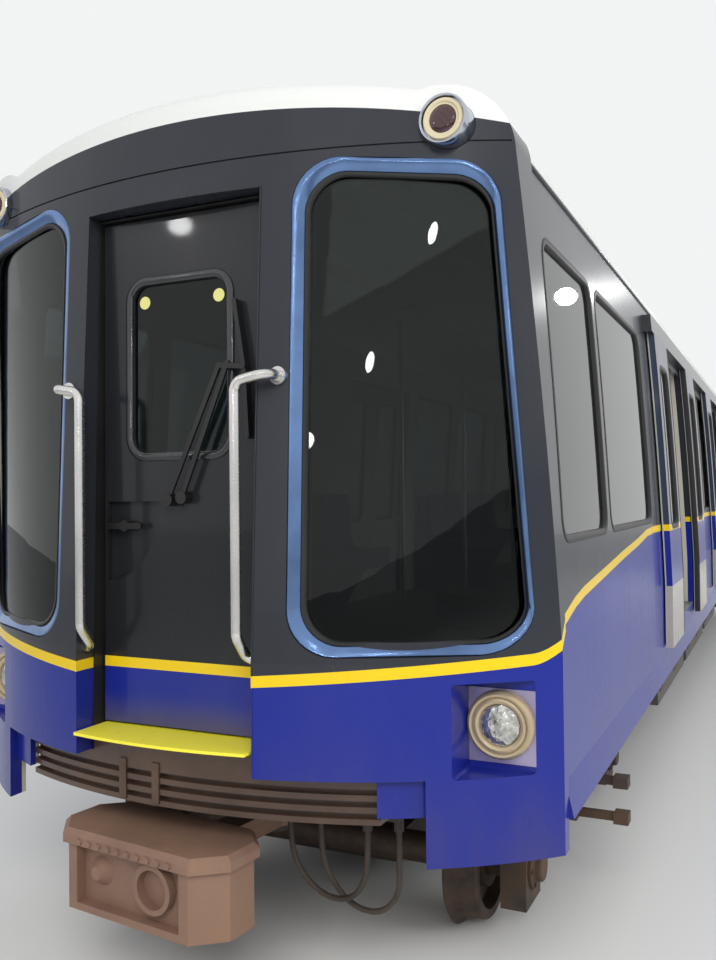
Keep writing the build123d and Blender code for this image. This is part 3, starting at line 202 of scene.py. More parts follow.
soft_light("key_light", (3.5, -13.0, 6.5), (0.4, -5.5, 1.4), (6, 4), 520, (1.0, 0.98, 0.94))
soft_light("side_light", (9.0, -3.0, 5.0), (1.2, -1.0, 1.5), (12, 3), 420)
soft_light("far_side_light", (-9.0, 0.0, 6.0), (-1.2, 0.0, 1.5), (12, 4), 320)
soft_light("rear_light", (0.0, 13.0, 6.0), (0.0, 6.0, 1.5), (6, 4), 320)
hall_lamp_size = (0.20, 0.16)
hall_lamp_power = 4
hall_lamps = (
    # place, and the spot on the car that mirrors it
    ((2.99, -10.34, 4.00), (0.940, -6.015, 2.543)),
    ((2.04, -10.82, 3.17), (0.752, -6.095, 2.176)),
    ((0.87, -11.10, 2.62), (0.569, -6.162, 1.927)),
    ((3.21, -10.11, 4.62), (1.020, -5.998, 2.798)),
    ((-2.83, -9.98, 4.15), (-0.010, -6.116, 2.699)),
    ((2.04, -0.40, 3.67), (1.157, -5.187, 2.519)),
)
for count, (place, target) in enumerate(hall_lamps, start=1):
    soft_light(f"hall_lamp_{count}", place, target, hall_lamp_size, hall_lamp_power, mirrored=True)
bpy.context.scene.view_settings.view_transform = "Standard"
print("lights", 4 + len(hall_lamps))

# %% [markdown]
# ## A short way to write a material
# Blender builds a material from nodes and links. Written out one by one they bury the idea, so a value
# on its way through the nodes is wrapped in a small class. Sums, products and comparisons on it add the
# Math nodes, and every other node comes from one method.

# %% Shader helpers
class Flow:
    """A value or colour on its way through one material's nodes."""

    def __init__(self, tree, socket):
        self.tree = tree
        self.socket = socket

    @staticmethod
    def node(tree, kind, settings=None, sockets=None, output=0):
        """Add one node: its settings first, then the values or links of its sockets."""
        made = tree.nodes.new(kind)
        for name, value in (settings or {}).items():
            if name == "stops":
                ramp = made.color_ramp
                while len(ramp.elements) < len(value):
                    ramp.elements.new(0.5)
                for element, (place, colour) in zip(ramp.elements, value):
                    element.position = place
                    element.color = colour
            elif name == "bends":
                line = made.mapping.curves[0]
                while len(line.points) < len(value):
                    line.points.new(0.5, 0.5)
                for point, (across, height) in zip(line.points, value):
                    point.location = (across, height)
                    point.handle_type = "VECTOR"
                made.mapping.update()
            else:
                setattr(made, name, value)
        for name, value in (sockets or {}).items():
            target = made.inputs[name]
            if isinstance(value, Flow):
                tree.links.new(value.socket, target)
            else:
                target.default_value = value
        return Flow(tree, made.outputs[output])

    def maths(self, operation, *others):
        sockets = {0: self}
        for place, other in enumerate(others, start=1):
            sockets[place] = other
        return Flow.node(self.tree, "ShaderNodeMath", {"operation": operation}, sockets)

    def __add__(self, other):
        return self.maths("ADD", other)

    def __radd__(self, other):
        return self.maths("ADD", other)

    def __sub__(self, other):
        return self.maths("SUBTRACT", other)

    def __rsub__(self, other):
        return Flow.node(self.tree, "ShaderNodeMath", {"operation": "SUBTRACT"}, {0: other, 1: self})

    def __mul__(self, other):
        return self.maths("MULTIPLY", other)

    def __rmul__(self, other):
        return self.maths("MULTIPLY", other)

    def __truediv__(self, other):
        return self.maths("DIVIDE", other)

    def abs(self):
        return self.maths("ABSOLUTE")

    def least(self, other):
        return self.maths("MINIMUM", other)

    def most(self, other):
        return self.maths("MAXIMUM", other)

    def rise(self, low, high):
        """0 below low, 1 above high, smooth between."""
        return Flow.node(self.tree, "ShaderNodeMapRange", {"interpolation_type": "SMOOTHSTEP"},
                         {"Value": self, "From Min": low, "From Max": high})

    def above(self, edge, soft=0.0008):
        return self.rise(edge - soft, edge + soft)

    def pick(self, when_zero, when_one):
        """A colour between two, by this value."""
        return Flow.node(self.tree, "ShaderNodeMix", {"data_type": "RGBA"},
                         {0: self, 6: when_zero, 7: when_one}, output=2)


def shade(red, green, blue):
    """A colour as it looks on a screen, 0 to 255, turned into the linear light that shaders use."""
    linear = [((v / 255 + 0.055) / 1.055) ** 2.4 if v > 10 else v / 255 / 12.92 for v in (red, green, blue)]
    return (*linear, 1)


class Finish:
    """A material under way: its place on the object, noise to vary it, and its shader."""

    def __init__(self, name, slot):
        self.material = bpy.data.materials.new(name)
        self.material.use_nodes = True
        self.slot = slot
        self.tree = self.material.node_tree
        self.tree.nodes.clear()
        place = self.tree.nodes.new("ShaderNodeTexCoord")
        self.where = Flow(self.tree, place.outputs["Object"])
        split = self.tree.nodes.new("ShaderNodeSeparateXYZ")
        self.tree.links.new(self.where.socket, split.inputs[0])
        self.x, self.y, self.z = (Flow(self.tree, output) for output in split.outputs)
        self.shader = self.tree.nodes.new("ShaderNodeBsdfPrincipled")
        self.output = self.tree.nodes.new("ShaderNodeOutputMaterial")
        self.tree.links.new(self.shader.outputs[0], self.output.inputs["Surface"])

    def node(self, kind, settings=None, sockets=None, output=0):
        return Flow.node(self.tree, kind, settings, sockets, output)

    def noise(self, scale, detail=3.0, roughness=0.55, stretch=None):
        where = self.where
        if stretch:
            where = self.node("ShaderNodeMapping", {}, {"Vector": where, "Scale": stretch})
        return self.node("ShaderNodeTexNoise", {},
                         {"Vector": where, "Scale": scale, "Detail": detail, "Roughness": roughness})

    def use(self, **values):
        """Set the shader's sockets by name, with underscores for spaces."""
        for name, value in values.items():
            target = self.shader.inputs[name.replace("_", " ")]
            if isinstance(value, Flow):
                self.tree.links.new(value.socket, target)
            else:
                target.default_value = value
        return self

    def bump(self, height, strength=0.3, distance=0.001):
        normal = self.node("ShaderNodeBump", {},
                           {"Height": height, "Strength": strength, "Distance": distance})
        self.tree.links.new(normal.socket, self.shader.inputs["Normal"])
        return self


def dress(finish, *names):
    """Give CAD nodes a finish by filling their material slots."""
    for name in names:
        mesh = nodes[name].data
        if not mesh.materials:
            mesh.materials.append(finish.material)
        for place in range(len(mesh.materials)):
            mesh.materials[place] = finish.material


print("helpers ready")

# %% [markdown]
# ## Body paint
# The car is charcoal above and royal blue below, with a yellow stripe between them. Across the end the
# stripe sits just over a metre up and rises gently outward. It climbs round the corner, sweeps up along
# the side under the first windows, and runs level at 1.5 m from there. Masking tape and three tins of
# paint would do it on the real car. Here the colour is chosen by height above or below a line, and the
# line is a curve of the distance from the end.

# %% The body's measures, the paint colours and the stripe's line
rail_top = 0.028
half_length = 6.3
waist_z = 1.208
waist_half_width = 1.235
side_height = 1.64
side_lean = 0.097
side_bulge = 0.044
nose_radius = 1.76
nose_growth = 0.5396
nose_rake = 0.06
charcoal = shade(46, 49, 56)
royal_blue = shade(24, 40, 140)
stripe_yellow = shade(240, 204, 24)
roof_white = shade(226, 228, 226)
lining_cream = shade(205, 200, 186)
stripe_half = 0.0185
stripe_line = (
    # distance from the end of the car, height of the stripe's middle above the rail
    (0.00, 1.215), (0.50, 1.262), (0.79, 1.326), (0.95, 1.349), (1.16, 1.367), (1.47, 1.393), (1.86, 1.427),
    (2.33, 1.462), (2.66, 1.494), (2.90, 1.500),
)
line_reach = 3.0


def stripe_height(finish):
    """How high the stripe's middle lies at each place on the body, above the floor."""
    from_end = half_length - finish.y.abs()
    bends = [(away / line_reach, height - 1.0) for away, height in stripe_line] + [(1.0, 0.5)]
    along_side = finish.node("ShaderNodeFloatCurve", {"bends": bends},
                             {"Factor": 1.0, "Value": from_end / line_reach}) + (1.0 + rail_top)
    across_end = (finish.x.abs() - 0.36) * 0.072 + (1.121 + rail_top)
    turn = from_end.rise(0.44, 0.60)
    return across_end * (1 - turn) + along_side * turn


def livery(finish, top_colour=charcoal, low_colour=royal_blue):
    """Charcoal over yellow over blue, split by the stripe's line."""
    offset = finish.z - stripe_height(finish)
    upper = offset.above(stripe_half)
    lower = offset.above(-stripe_half)
    return upper.pick(lower.pick(low_colour, stripe_yellow), top_colour), upper


def side_line(lift):
    """How far out the side lies, from its share of the height between waist and gutter."""
    return waist_half_width - lift * side_lean + lift * (1 - lift) * side_bulge


def side_x(finish):
    """The side's place at each height, in a material."""
    return side_line(((finish.z - waist_z) / side_height).most(0.0))


# %% Body paint materials
def body_paint(name, slot, is_cap):
    finish = Finish(name, slot)
    colour, upper = livery(finish)
    grime = finish.noise(2.2, 5.0, 0.6, stretch=(1, 1, 0.35))
    fade = finish.noise(0.7, 2.0)
    colour = (grime.rise(0.45, 0.95) * 0.10).pick(colour, shade(120, 112, 104))
    low_dust = (1 - finish.z.rise(0.55, 1.05)) * grime.rise(0.3, 0.8) * 0.35
    colour = low_dust.pick(colour, shade(96, 84, 74))
    if is_cap:
        crown = finish.z - (finish.x * finish.x * -0.085 + 3.028)
        colour = crown.above(0.0).pick(colour, roof_white)
        lift = (finish.z - waist_z).most(0.0)
        depth = half_length - finish.y.abs() - lift * nose_rake
        radius = lift * nose_growth + nose_radius
        curve = radius - (radius * radius - finish.x * finish.x).maths("SQRT")
        skin = (depth - curve).least(side_x(finish) + 0.01 - finish.x.abs())
        lamp_box = ((finish.x.abs() - 1.058).abs().most((finish.z - 0.990).abs() - 0.037)).above(0.1145)
        inside = skin.above(0.060) * (1 - finish.z.above(3.04)) * finish.x.abs().above(0.362) * lamp_box
    else:
        inside = (side_x(finish) - finish.x.abs()).above(0.038)
    colour = inside.pick(colour, lining_cream)
    peel = finish.noise(380, 2.0)
    finish.use(Base_Color=colour, Roughness=0.16 + fade * 0.10 + grime * 0.10 + inside * 0.3,
               Coat_Weight=0.18 - inside * 0.15, Coat_Roughness=0.05, IOR=1.45, Specular_IOR_Level=0.25)
    finish.bump(peel, 0.05, 0.0004)
    return finish


front_paint = body_paint("end_paint", "front_paint", True)
side_paint = body_paint("side_paint", "side_paint", False)
dress(front_paint, "front_cap", "rear_cap")
dress(side_paint, "side_wall_left", "side_wall_right")

# %% [markdown]
# ## Plain finishes
# Rubber, cast iron, galvanised boxes, stainless tube and moulded seats each have their own grain, and
# each gets dirtier towards the rails. Every recipe below starts from one colour, lets two scales of
# noise move it, and turns the same noise into roughness and a fine bump.

# %% Glass
glass = Finish("tinted_glass", "glass")
smear = glass.noise(1.4, 4.0, 0.6)
glass.use(Base_Color=smear.rise(0.3, 0.8).pick(shade(78, 90, 88), shade(66, 77, 76)),
          Roughness=smear * 0.03, Transmission_Weight=1.0, IOR=1.38)
dress(glass, "windows")

# %% Rubber, metal and plastic
def worn(name, slot, base, tone, grain=60.0, rough=(0.5, 0.7), metal=0.0, dirt=0.4,
         dirt_tone=shade(92, 78, 66), bump=0.2, bump_depth=0.0006, dirt_top=0.9, coat=0.0):
    """A worn surface: base colour, a second tone, fine grain, and dirt that thickens downward."""
    finish = Finish(name, slot)
    broad = finish.noise(3.0, 4.0, 0.6)
    fine = finish.noise(grain, 4.0, 0.6)
    colour = broad.rise(0.3, 0.75).pick(base, tone)
    spread = (1 - finish.z.rise(dirt_top - 0.6, dirt_top)) * broad.rise(0.25, 0.7) * dirt
    colour = spread.pick(colour, dirt_tone)
    finish.use(Base_Color=colour, Roughness=rough[0] + fine * (rough[1] - rough[0]) + spread * 0.2,
               Metallic=metal * (1 - spread) if metal else 0.0, Coat_Weight=coat)
    finish.bump(fine, bump, bump_depth)
    return finish


seal_rubber = worn("seal_rubber", "seal_rubber", shade(26, 26, 28), shade(36, 35, 36), 140, (0.35, 0.55),
                   dirt=0.2)
black_fittings = worn("black_fittings", "black_fittings", shade(22, 22, 24), shade(32, 32, 34), 160,
                      (0.3, 0.5), dirt=0.1)
bumper_rubber = worn("bumper_rubber", "bumper_rubber", shade(66, 46, 35), shade(86, 60, 45), 90, (0.24, 0.5),
                     dirt=0.35, dirt_top=1.2, bump=0.35, coat=0.3)
stainless = worn("stainless_tube", "stainless", shade(226, 224, 220), shade(206, 205, 204), 220,
                 (0.18, 0.34), metal=1.0, dirt=0.0, bump=0.08)
coupler_iron = worn("coupler_iron", "coupler_iron", shade(136, 108, 95), shade(162, 130, 113), 55,
                    (0.5, 0.75), metal=0.3, dirt=0.6, dirt_tone=shade(132, 102, 78), bump=0.5,
                    bump_depth=0.0012)
bogie_steel = worn("bogie_steel", "bogie_steel", shade(52, 48, 46), shade(70, 62, 56), 48, (0.55, 0.8),
                   metal=0.2, dirt=0.8, dirt_tone=shade(98, 76, 58), bump=0.5, bump_depth=0.0012)
motor_iron = worn("motor_iron", "motor_iron", shade(44, 43, 44), shade(62, 56, 52), 70, (0.55, 0.8),
                  metal=0.2, dirt=0.7, bump=0.4)
box_steel = worn("box_steel", "box_steel", shade(84, 86, 88), shade(100, 98, 94), 80, (0.45, 0.65), metal=0.3,
                 dirt=0.6, bump=0.25)
underframe_paint = worn("underframe_paint", "underframe_paint", shade(46, 44, 44), shade(62, 56, 52), 60,
                        (0.55, 0.75), dirt=0.6, bump=0.35)
seat_plastic = worn("seat_plastic", "seat_plastic", shade(52, 66, 128), shade(46, 58, 112), 300, (0.38, 0.5),
                    dirt=0.0, bump=0.15)
floor_cover = worn("floor_cover", "floor_cover", shade(92, 94, 98), shade(104, 105, 108), 400, (0.5, 0.7),
                   dirt=0.0, bump=0.3)
rail_cover = worn("rail_cover", "rail_cover", shade(40, 42, 47), shade(50, 51, 56), 120, (0.25, 0.4),
                  dirt=0.0, bump=0.1, coat=0.4)
dress(seal_rubber, "end_door_frames")
dress(black_fittings, "front_door_fittings", "rear_door_fittings")
dress(bumper_rubber, "bumpers")
dress(stainless, "handrails", "grab_poles")
dress(coupler_iron, "front_coupler", "rear_coupler")
dress(bogie_steel, "front_bogie_frame", "rear_bogie_frame")
dress(motor_iron, "front_motor", "rear_motor")
dress(box_steel, "equipment")
dress(underframe_paint, "underframe")
dress(seat_plastic, "seats")
dress(floor_cover, "floor")
dress(rail_cover, "door_rails")

# %% Roof, sill, wheels and hoses
roof_paint = Finish("roof_paint", "roof_paint")
soot = roof_paint.noise(1.6, 6.0, 0.62, stretch=(1, 0.3, 1))
crown_z = 3.128
crown_bend = 9.94
roof_height = roof_paint.x * roof_paint.x / -crown_bend + crown_z
in_cabin = roof_paint.z.above(2.86) * (1 - roof_paint.x.abs().above(1.02))
under = (roof_height - roof_paint.z).above(0.10) * in_cabin
roof_colour = (soot.rise(0.4, 0.9) * 0.35).pick(roof_white, shade(150, 146, 140))
roof_paint.use(Base_Color=under.pick(roof_colour, lining_cream), Roughness=0.38 + soot * 0.25)
roof_paint.bump(roof_paint.noise(120, 3.0), 0.1, 0.0005)
dress(roof_paint, "roof")

sill_yellow = Finish("sill_yellow", "yellow_plate")
scuff = sill_yellow.noise(26, 5.0, 0.65, stretch=(1, 0.35, 1))
sill_yellow.use(Base_Color=(scuff.rise(0.58, 0.8) * 0.55).pick(shade(255, 244, 70), shade(170, 150, 70)),
                Roughness=0.38 + scuff * 0.25)
sill_yellow.bump(scuff, 0.25, 0.0006)
dress(sill_yellow, "sill_plates")

wheel_steel = Finish("wheel_steel", "wheel_steel")
rust = wheel_steel.noise(14, 5.0, 0.6)
wheel_steel.use(Base_Color=rust.rise(0.3, 0.7).pick(shade(84, 66, 54), shade(62, 54, 50)), Metallic=0.45,
                Roughness=0.5 + rust * 0.3)
wheel_steel.bump(rust, 0.35, 0.001)
dress(wheel_steel, "wheelset_1", "wheelset_2", "wheelset_3", "wheelset_4")

hose_rubber = worn("hose_rubber", "hose_rubber", shade(30, 28, 27), shade(46, 40, 36), 200, (0.45, 0.65),
                   dirt=0.5)
for hose in hoses:
    hose.data.materials.append(hose_rubber.material)

# %% [markdown]
# ## Doors
# Each door in the CAD model is a leaf with its pane in one node. The painted leaf and the pane need
# different finishes, so a copy of the node's mesh is welded and parted into its loose pieces.

# %% Part the doors into leaf and pane
def welded_copy(name):
    """A merged copy of a CAD node's mesh as bmesh."""
    shape = bmesh.new()
    shape.from_mesh(nodes[name].data)
    bmesh.ops.remove_doubles(shape, verts=shape.verts, dist=0.00002)
    return shape


def loose_parts(shape):
    """Lists of the faces of each connected piece."""
    left = set(shape.faces)
    parts = []
    while left:
        start = left.pop()
        part, edge_of_part = [start], [start]
        while edge_of_part:
            face = edge_of_part.pop()
            for edge in face.edges:
                for neighbour in edge.link_faces:
                    if neighbour in left:
                        left.remove(neighbour)
                        part.append(neighbour)
                        edge_of_part.append(neighbour)
        parts.append(part)
    return parts


def piece_from(shape, name, body, finish, smooth_angle=30):
    """Turn a bmesh into a finished piece that rides on a body."""
    mesh = bpy.data.meshes.new(name)
    shape.to_mesh(mesh)
    shape.free()
    mesh.materials.append(finish.material)
    thing = bpy.data.objects.new(name, mesh)
    bpy.context.scene.collection.objects.link(thing)
    for polygon in mesh.polygons:
        polygon.use_smooth = True
    mesh.set_sharp_from_angle(angle=math.radians(smooth_angle))
    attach(thing, body)
    return thing


def parted(name):
    """The welded copy of a node, split into a list of bmeshes, largest first."""
    whole = welded_copy(name)
    groups = sorted(loose_parts(whole), key=len, reverse=True)
    out = []
    for group in groups:
        single = bmesh.new()
        made = {}
        for face in group:
            corners = []
            for vert in face.verts:
                if vert not in made:
                    made[vert] = single.verts.new(vert.co)
                corners.append(made[vert])
            single.faces.new(corners)
        out.append(single)
    whole.free()
    return out


def box_of(shape):
    spots = [vert.co for vert in shape.verts]
    return (Vector([min(spot[i] for spot in spots) for i in range(3)]),
            Vector([max(spot[i] for spot in spots) for i in range(3)]))


def leaf_paint_finish():
    """Side door leaves: charcoal tinted steel blue, partly the paint's own tone and partly a painted
    reflection, then the stripe, a blue band and warm grey below, with bare metal edges.
    """
    finish = Finish("leaf_paint", "leaf_paint")
    offset = finish.z - (1.500 + rail_top)
    colour = offset.above(-stripe_half).pick(royal_blue, stripe_yellow)
    # Above the stripe: charcoal tinted steel blue, partly the paint's own tone and partly a painted
    # reflection.
    colour = offset.above(stripe_half).pick(colour, shade(48, 58, 78))
    colour = finish.z.above(1.155 + rail_top).pick(shade(176, 172, 164), colour)
    grime = finish.noise(2.4, 5.0, 0.6, stretch=(1, 1, 0.35))
    colour = (grime.rise(0.4, 0.9) * 0.12).pick(colour, shade(110, 104, 98))
    inner = (side_x(finish) + 0.016 - finish.x.abs()).above(0.0)
    colour = inner.pick(colour, shade(176, 176, 172))
    finish.use(Base_Color=colour, Roughness=0.2 + grime * 0.16 + inner * 0.2, Coat_Weight=0.3,
               Coat_Roughness=0.08, Specular_IOR_Level=0.25)
    finish.bump(finish.noise(380, 2.0), 0.05, 0.0004)
    return finish


leaf_paint = leaf_paint_finish()
door_nodes = [name for name in nodes if name.startswith("door_right") or name.startswith("door_left")]
for name in sorted(door_nodes):
    body = nodes[name]["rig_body"]
    shapes = parted(name)
    leaf_shape = max(shapes, key=lambda s: (box_of(s)[1] - box_of(s)[0]).z)
    for shape in shapes:
        if shape is leaf_shape:
            leaf = piece_from(shape, f"{name}_leaf", body, leaf_paint)
            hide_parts(name)
        else:
            piece_from(shape, f"{name}_pane", body, glass)
print("side doors parted:", len(door_nodes))

# %% End doors
door_paint = Finish("end_door_paint", "door_paint")
door_low = (door_paint.z - (1.121 + rail_top)).above(-stripe_half).pick(royal_blue, stripe_yellow)
door_colour = (door_paint.z - (1.121 + rail_top)).above(stripe_half).pick(door_low, shade(30, 32, 36))
door_grime = door_paint.noise(2.6, 5.0, 0.6, stretch=(1, 1, 0.4))
door_dust = (1 - door_paint.z.rise(0.92, 1.06)) * door_grime.rise(0.2, 0.6) * 0.5
door_colour = door_dust.pick((door_grime.rise(0.45, 0.95) * 0.12).pick(door_colour, shade(120, 112, 104)),
                             shade(104, 96, 96))
door_paint.use(Base_Color=door_colour, Roughness=0.2 + door_grime * 0.18, Coat_Weight=0.3,
               Coat_Roughness=0.05, Specular_IOR_Level=0.25)
door_paint.bump(door_paint.noise(380, 2.0), 0.05, 0.0004)
for end in ("front", "rear"):
    shapes = parted(f"{end}_end_door")
    pane_shape = min(shapes, key=lambda s: (box_of(s)[1] - box_of(s)[0]).z)
    for shape in shapes:
        if shape is pane_shape:
            piece_from(shape, f"{end}_end_door_pane", f"{end}_door", glass)
        else:
            leaf = piece_from(shape, f"{end}_end_door_leaf", f"{end}_door", door_paint)
            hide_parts(f"{end}_end_door")
print("end doors parted")

# %% [markdown]
# ## Shapes from loops
# Most of the added pieces are rings, discs or strips. Each one is a row of loops with the same number of
# points, joined by faces: a moulding is four or five loops round an opening, and a lamp is a profile
# turned round its axis. Where one shape repeats many times, such as bolts, a small Geometry Nodes tree
# copies it onto points and the result is kept as one mesh.

# %% Loops into meshes
least_radius = 0.00005


def rounded(corners, radius, steps=8):
    """The points of a polygon with its corners rounded off."""
    points = []
    count = len(corners)
    for place in range(count):
        corner = Vector(corners[place])
        to_last = (Vector(corners[place - 1]) - corner).normalized()
        to_next = (Vector(corners[(place + 1) % count]) - corner).normalized()
        half = to_last.angle(to_next) / 2
        middle = corner + (to_last + to_next).normalized() * (radius / math.sin(half))
        start = corner + to_last * (radius / math.tan(half)) - middle
        end = corner + to_next * (radius / math.tan(half)) - middle
        for step in range(steps + 1):
            share = step / steps
            points.append(middle + start.lerp(end, share).normalized() * radius)
    return points


def shape_from_loops(loops, ring=True, caps=False):
    """Join loops of points by faces. A ring also joins the last loop to the first; caps close the ends."""
    shape = bmesh.new()
    rows = [[shape.verts.new(point) for point in loop] for loop in loops]
    pairs = list(zip(rows, rows[1:]))
    if ring:
        pairs.append((rows[-1], rows[0]))
    count = len(rows[0])
    for first, second in pairs:
        for place in range(count):
            after = (place + 1) % count
            shape.faces.new((first[place], first[after], second[after], second[place]))
    if caps:
        shape.faces.new(rows[0][::-1])
        shape.faces.new(rows[-1])
    bmesh.ops.recalc_face_normals(shape, faces=shape.faces)
    return shape


def turned_shape(profile, place, axis, steps=48):
    """A profile of (radius, distance along the axis) turned round an axis through a place."""
    axis = Vector(axis).normalized()
    side = axis.orthogonal().normalized()
    other = axis.cross(side)
    angles = [math.tau * n / steps for n in range(steps)]
    spokes = [side * math.cos(angle) + other * math.sin(angle) for angle in angles]
    loops = []
    for radius, along in profile:
        centre = Vector(place) + axis * along
        loops.append([centre + spoke * max(radius, least_radius) for spoke in spokes])
    return shape_from_loops(loops, ring=False, caps=True)


def joined(shapes):
    """Several bmeshes as one."""
    whole = bmesh.new()
    for shape in shapes:
        mesh = bpy.data.meshes.new("joining")
        shape.to_mesh(mesh)
        whole.from_mesh(mesh)
        bpy.data.meshes.remove(mesh)
        shape.free()
    return whole


def box_shape(low, high):
    """A plain box between two corners."""
    shape = bmesh.new()
    bmesh.ops.create_cube(shape, size=1.0)
    middle, size = (Vector(low) + Vector(high)) / 2, Vector(high) - Vector(low)
    for vert in shape.verts:
        vert.co = middle + Vector(vert.co[i] * size[i] for i in range(3))
    return shape


def both_ends(make):
    """Shapes for the front, and the same turned half round for the rear."""
    for end, spin in (("front", 0.0), ("rear", math.pi)):
        made = make()
        for shape in made:
            bmesh.ops.rotate(shape, verts=shape.verts, cent=(0, 0, 0), matrix=Matrix.Rotation(spin, 3, "Z"))
        yield end, made


# %% Places on the end's face and on the end door
def face_y(x, z, inset=0.0):
    """How far along the car the front face lies, at one place across and one height."""
    lift = max(0.0, z - waist_z)
    radius = nose_radius + lift * nose_growth - inset
    return -half_length + inset + lift * nose_rake + radius - math.sqrt(radius ** 2 - x ** 2)


def on_face(points, inset):
    return [(point[0], face_y(point[0], point[1], inset), point[1]) for point in points]


door_lean = math.radians(0.4)
door_setback = 0.172
door_foot = 0.934
door_up = Vector((0, math.sin(door_lean), math.cos(door_lean)))
door_out = Vector((0, -math.cos(door_lean), math.sin(door_lean)))
door_origin = Vector((0, door_setback - half_length, door_foot))


def on_door(points, out):
    """Points given as across and height above the rail, on the end door's sloping plane."""
    return [door_origin + Vector((x, 0, 0)) + door_up * (height + rail_top - door_foot) + door_out * out
            for x, height in points]


# %% [markdown]
# ## Windscreen surrounds
# Each windscreen lies in a shallow recess. A bevelled metal frame leads down into it and a black rubber
# gasket holds the glass. Both follow the curved face, so their loops run from the recess's outer
# outline towards the outline of the glass.

# %% Windscreen frames
frame_metal = worn("frame_metal", None, shade(112, 142, 190), shade(88, 112, 152), 160, (0.14, 0.26),
                   metal=0.9, dirt=0.0, bump=0.05)


def screen_outline(border, side):
    left = 0.467 + border * 0.049
    bottom = rail_top + 1.200 + border * 0.045
    top = rail_top + 2.818 - border * 0.058
    outer = border * 0.030
    corners = [(left, bottom), (1.182 - outer, bottom), (1.100 - outer, top - 0.050), (left, top)]
    return rounded([(side * x, z) for x, z in corners], 0.150 - border * 0.030, 10)


def screen_ring(side, section):
    return shape_from_loops([on_face(screen_outline(border, side), inset) for border, inset in section])


# share of the way from the recess's edge to the glass, and depth under the face
bevel_section = ((0.02, 0.0218), (0.02, 0.004), (0.10, 0.0015), (0.30, 0.004), (0.72, 0.0170), (0.80, 0.0218))
gasket_section = ((0.80, 0.0218), (0.83, 0.0165), (0.97, 0.0160), (1.06, 0.0200), (1.10, 0.0278),
                  (1.00, 0.0278))
for end, shapes in both_ends(lambda: [joined([screen_ring(side, section) for side in (-1, 1)])
                                      for section in (bevel_section, gasket_section)]):
    piece_from(shapes[0], f"{end}_screen_frames", "carbody", frame_metal, 40)
    piece_from(shapes[1], f"{end}_screen_gaskets", "carbody", seal_rubber, 40)
print("windscreen frames", 2)

# %% [markdown]
# ## The end door's window
# The pane sits in a raised moulding. Two round pale stickers are on the glass near its upper corners.

# %% Door window moulding and stickers
moulding = worn("door_moulding", None, shade(34, 36, 40), shade(44, 46, 50), 160, (0.12, 0.24), dirt=0.0,
                bump=0.05, coat=0.5)


def door_window(grow):
    left, right, low, high = -0.229 - grow, 0.197 + grow, 1.858 - grow, 2.484 + grow
    return rounded([(left, low), (right, low), (right, high), (left, high)], 0.070 + grow, 10)


sticker_profile = ((0.0, 0.0), (0.023, 0.0), (0.023, 0.0006), (0.0, 0.0006))


def moulding_shapes():
    section = ((0.016, 0.0), (0.015, 0.006), (0.009, 0.010), (-0.004, 0.010), (-0.012, 0.004),
               (-0.013, -0.0118), (0.0, -0.0118))
    ring = shape_from_loops([on_door(door_window(grow), out) for grow, out in section])
    stickers = []
    for x, height in ((-0.172, 2.412), (0.144, 2.410)):
        centre = on_door([(x, height)], -0.0119)[0]
        stickers.append(turned_shape(sticker_profile, centre, door_out, 32))
    return [ring, joined(stickers)]


sticker_yellow = Finish("sticker_yellow", None)
sticker_yellow.use(Base_Color=shade(226, 222, 140), Roughness=0.4)
for end, shapes in both_ends(moulding_shapes):
    piece_from(shapes[0], f"{end}_door_moulding", f"{end}_door", moulding, 40)
    piece_from(shapes[1], f"{end}_door_stickers", f"{end}_door", sticker_yellow)
print("door mouldings", 2)

# %% [markdown]
# ## Lamps
# A headlight is a pressed metal ring, a second ring inside it and a lens of crinkled glass, all on a
# square plate at the back of its recess. A marker lamp is a bright tube with a pale ring and a small
# dark red dome.

# %% Lamps
chrome = worn("lamp_chrome", None, shade(196, 200, 210), shade(170, 176, 190), 200, (0.08, 0.2), metal=1.0,
              dirt=0.0, bump=0.05)
lamp_ring = worn("lamp_ring", None, shade(196, 178, 146), shade(176, 158, 128), 90, (0.22, 0.4), metal=0.45,
                 dirt=0.0, bump=0.15)
lamp_cream = worn("lamp_cream", None, shade(214, 204, 174), shade(196, 184, 150), 90, (0.3, 0.45), dirt=0.0)
lamp_plate = worn("lamp_plate", None, shade(176, 166, 196), shade(150, 144, 178), 60, (0.25, 0.4), metal=0.6,
                  dirt=0.0, bump=0.2)
crinkled = Finish("crinkled_lens", "lamp_glass")
facets = crinkled.node("ShaderNodeTexVoronoi", {"feature": "F1"}, {"Vector": crinkled.where, "Scale": 62.0})
folds = crinkled.noise(34, 4.0, 0.6)
crinkled.use(Base_Color=folds.rise(0.3, 0.7).pick(shade(150, 148, 140), shade(226, 226, 220)), Metallic=0.85,
             Roughness=0.12 + folds * 0.1, Coat_Weight=1.0)
crinkled.bump(folds * 0.7 + facets * 0.6, 0.9, 0.006)
red_lens = Finish("red_lens", None)
ribs = red_lens.node("ShaderNodeTexWave", {"bands_direction": "DIAGONAL"},
                     {"Vector": red_lens.where, "Scale": 24.0})
red_lens.use(Base_Color=ribs.pick(shade(62, 8, 14), shade(38, 4, 10)), Roughness=0.08, Coat_Weight=1.0)
red_lens.bump(ribs, 0.3, 0.001)
marker_place, marker_z = 0.954, 2.918
head_place, head_z = 1.058, 0.990


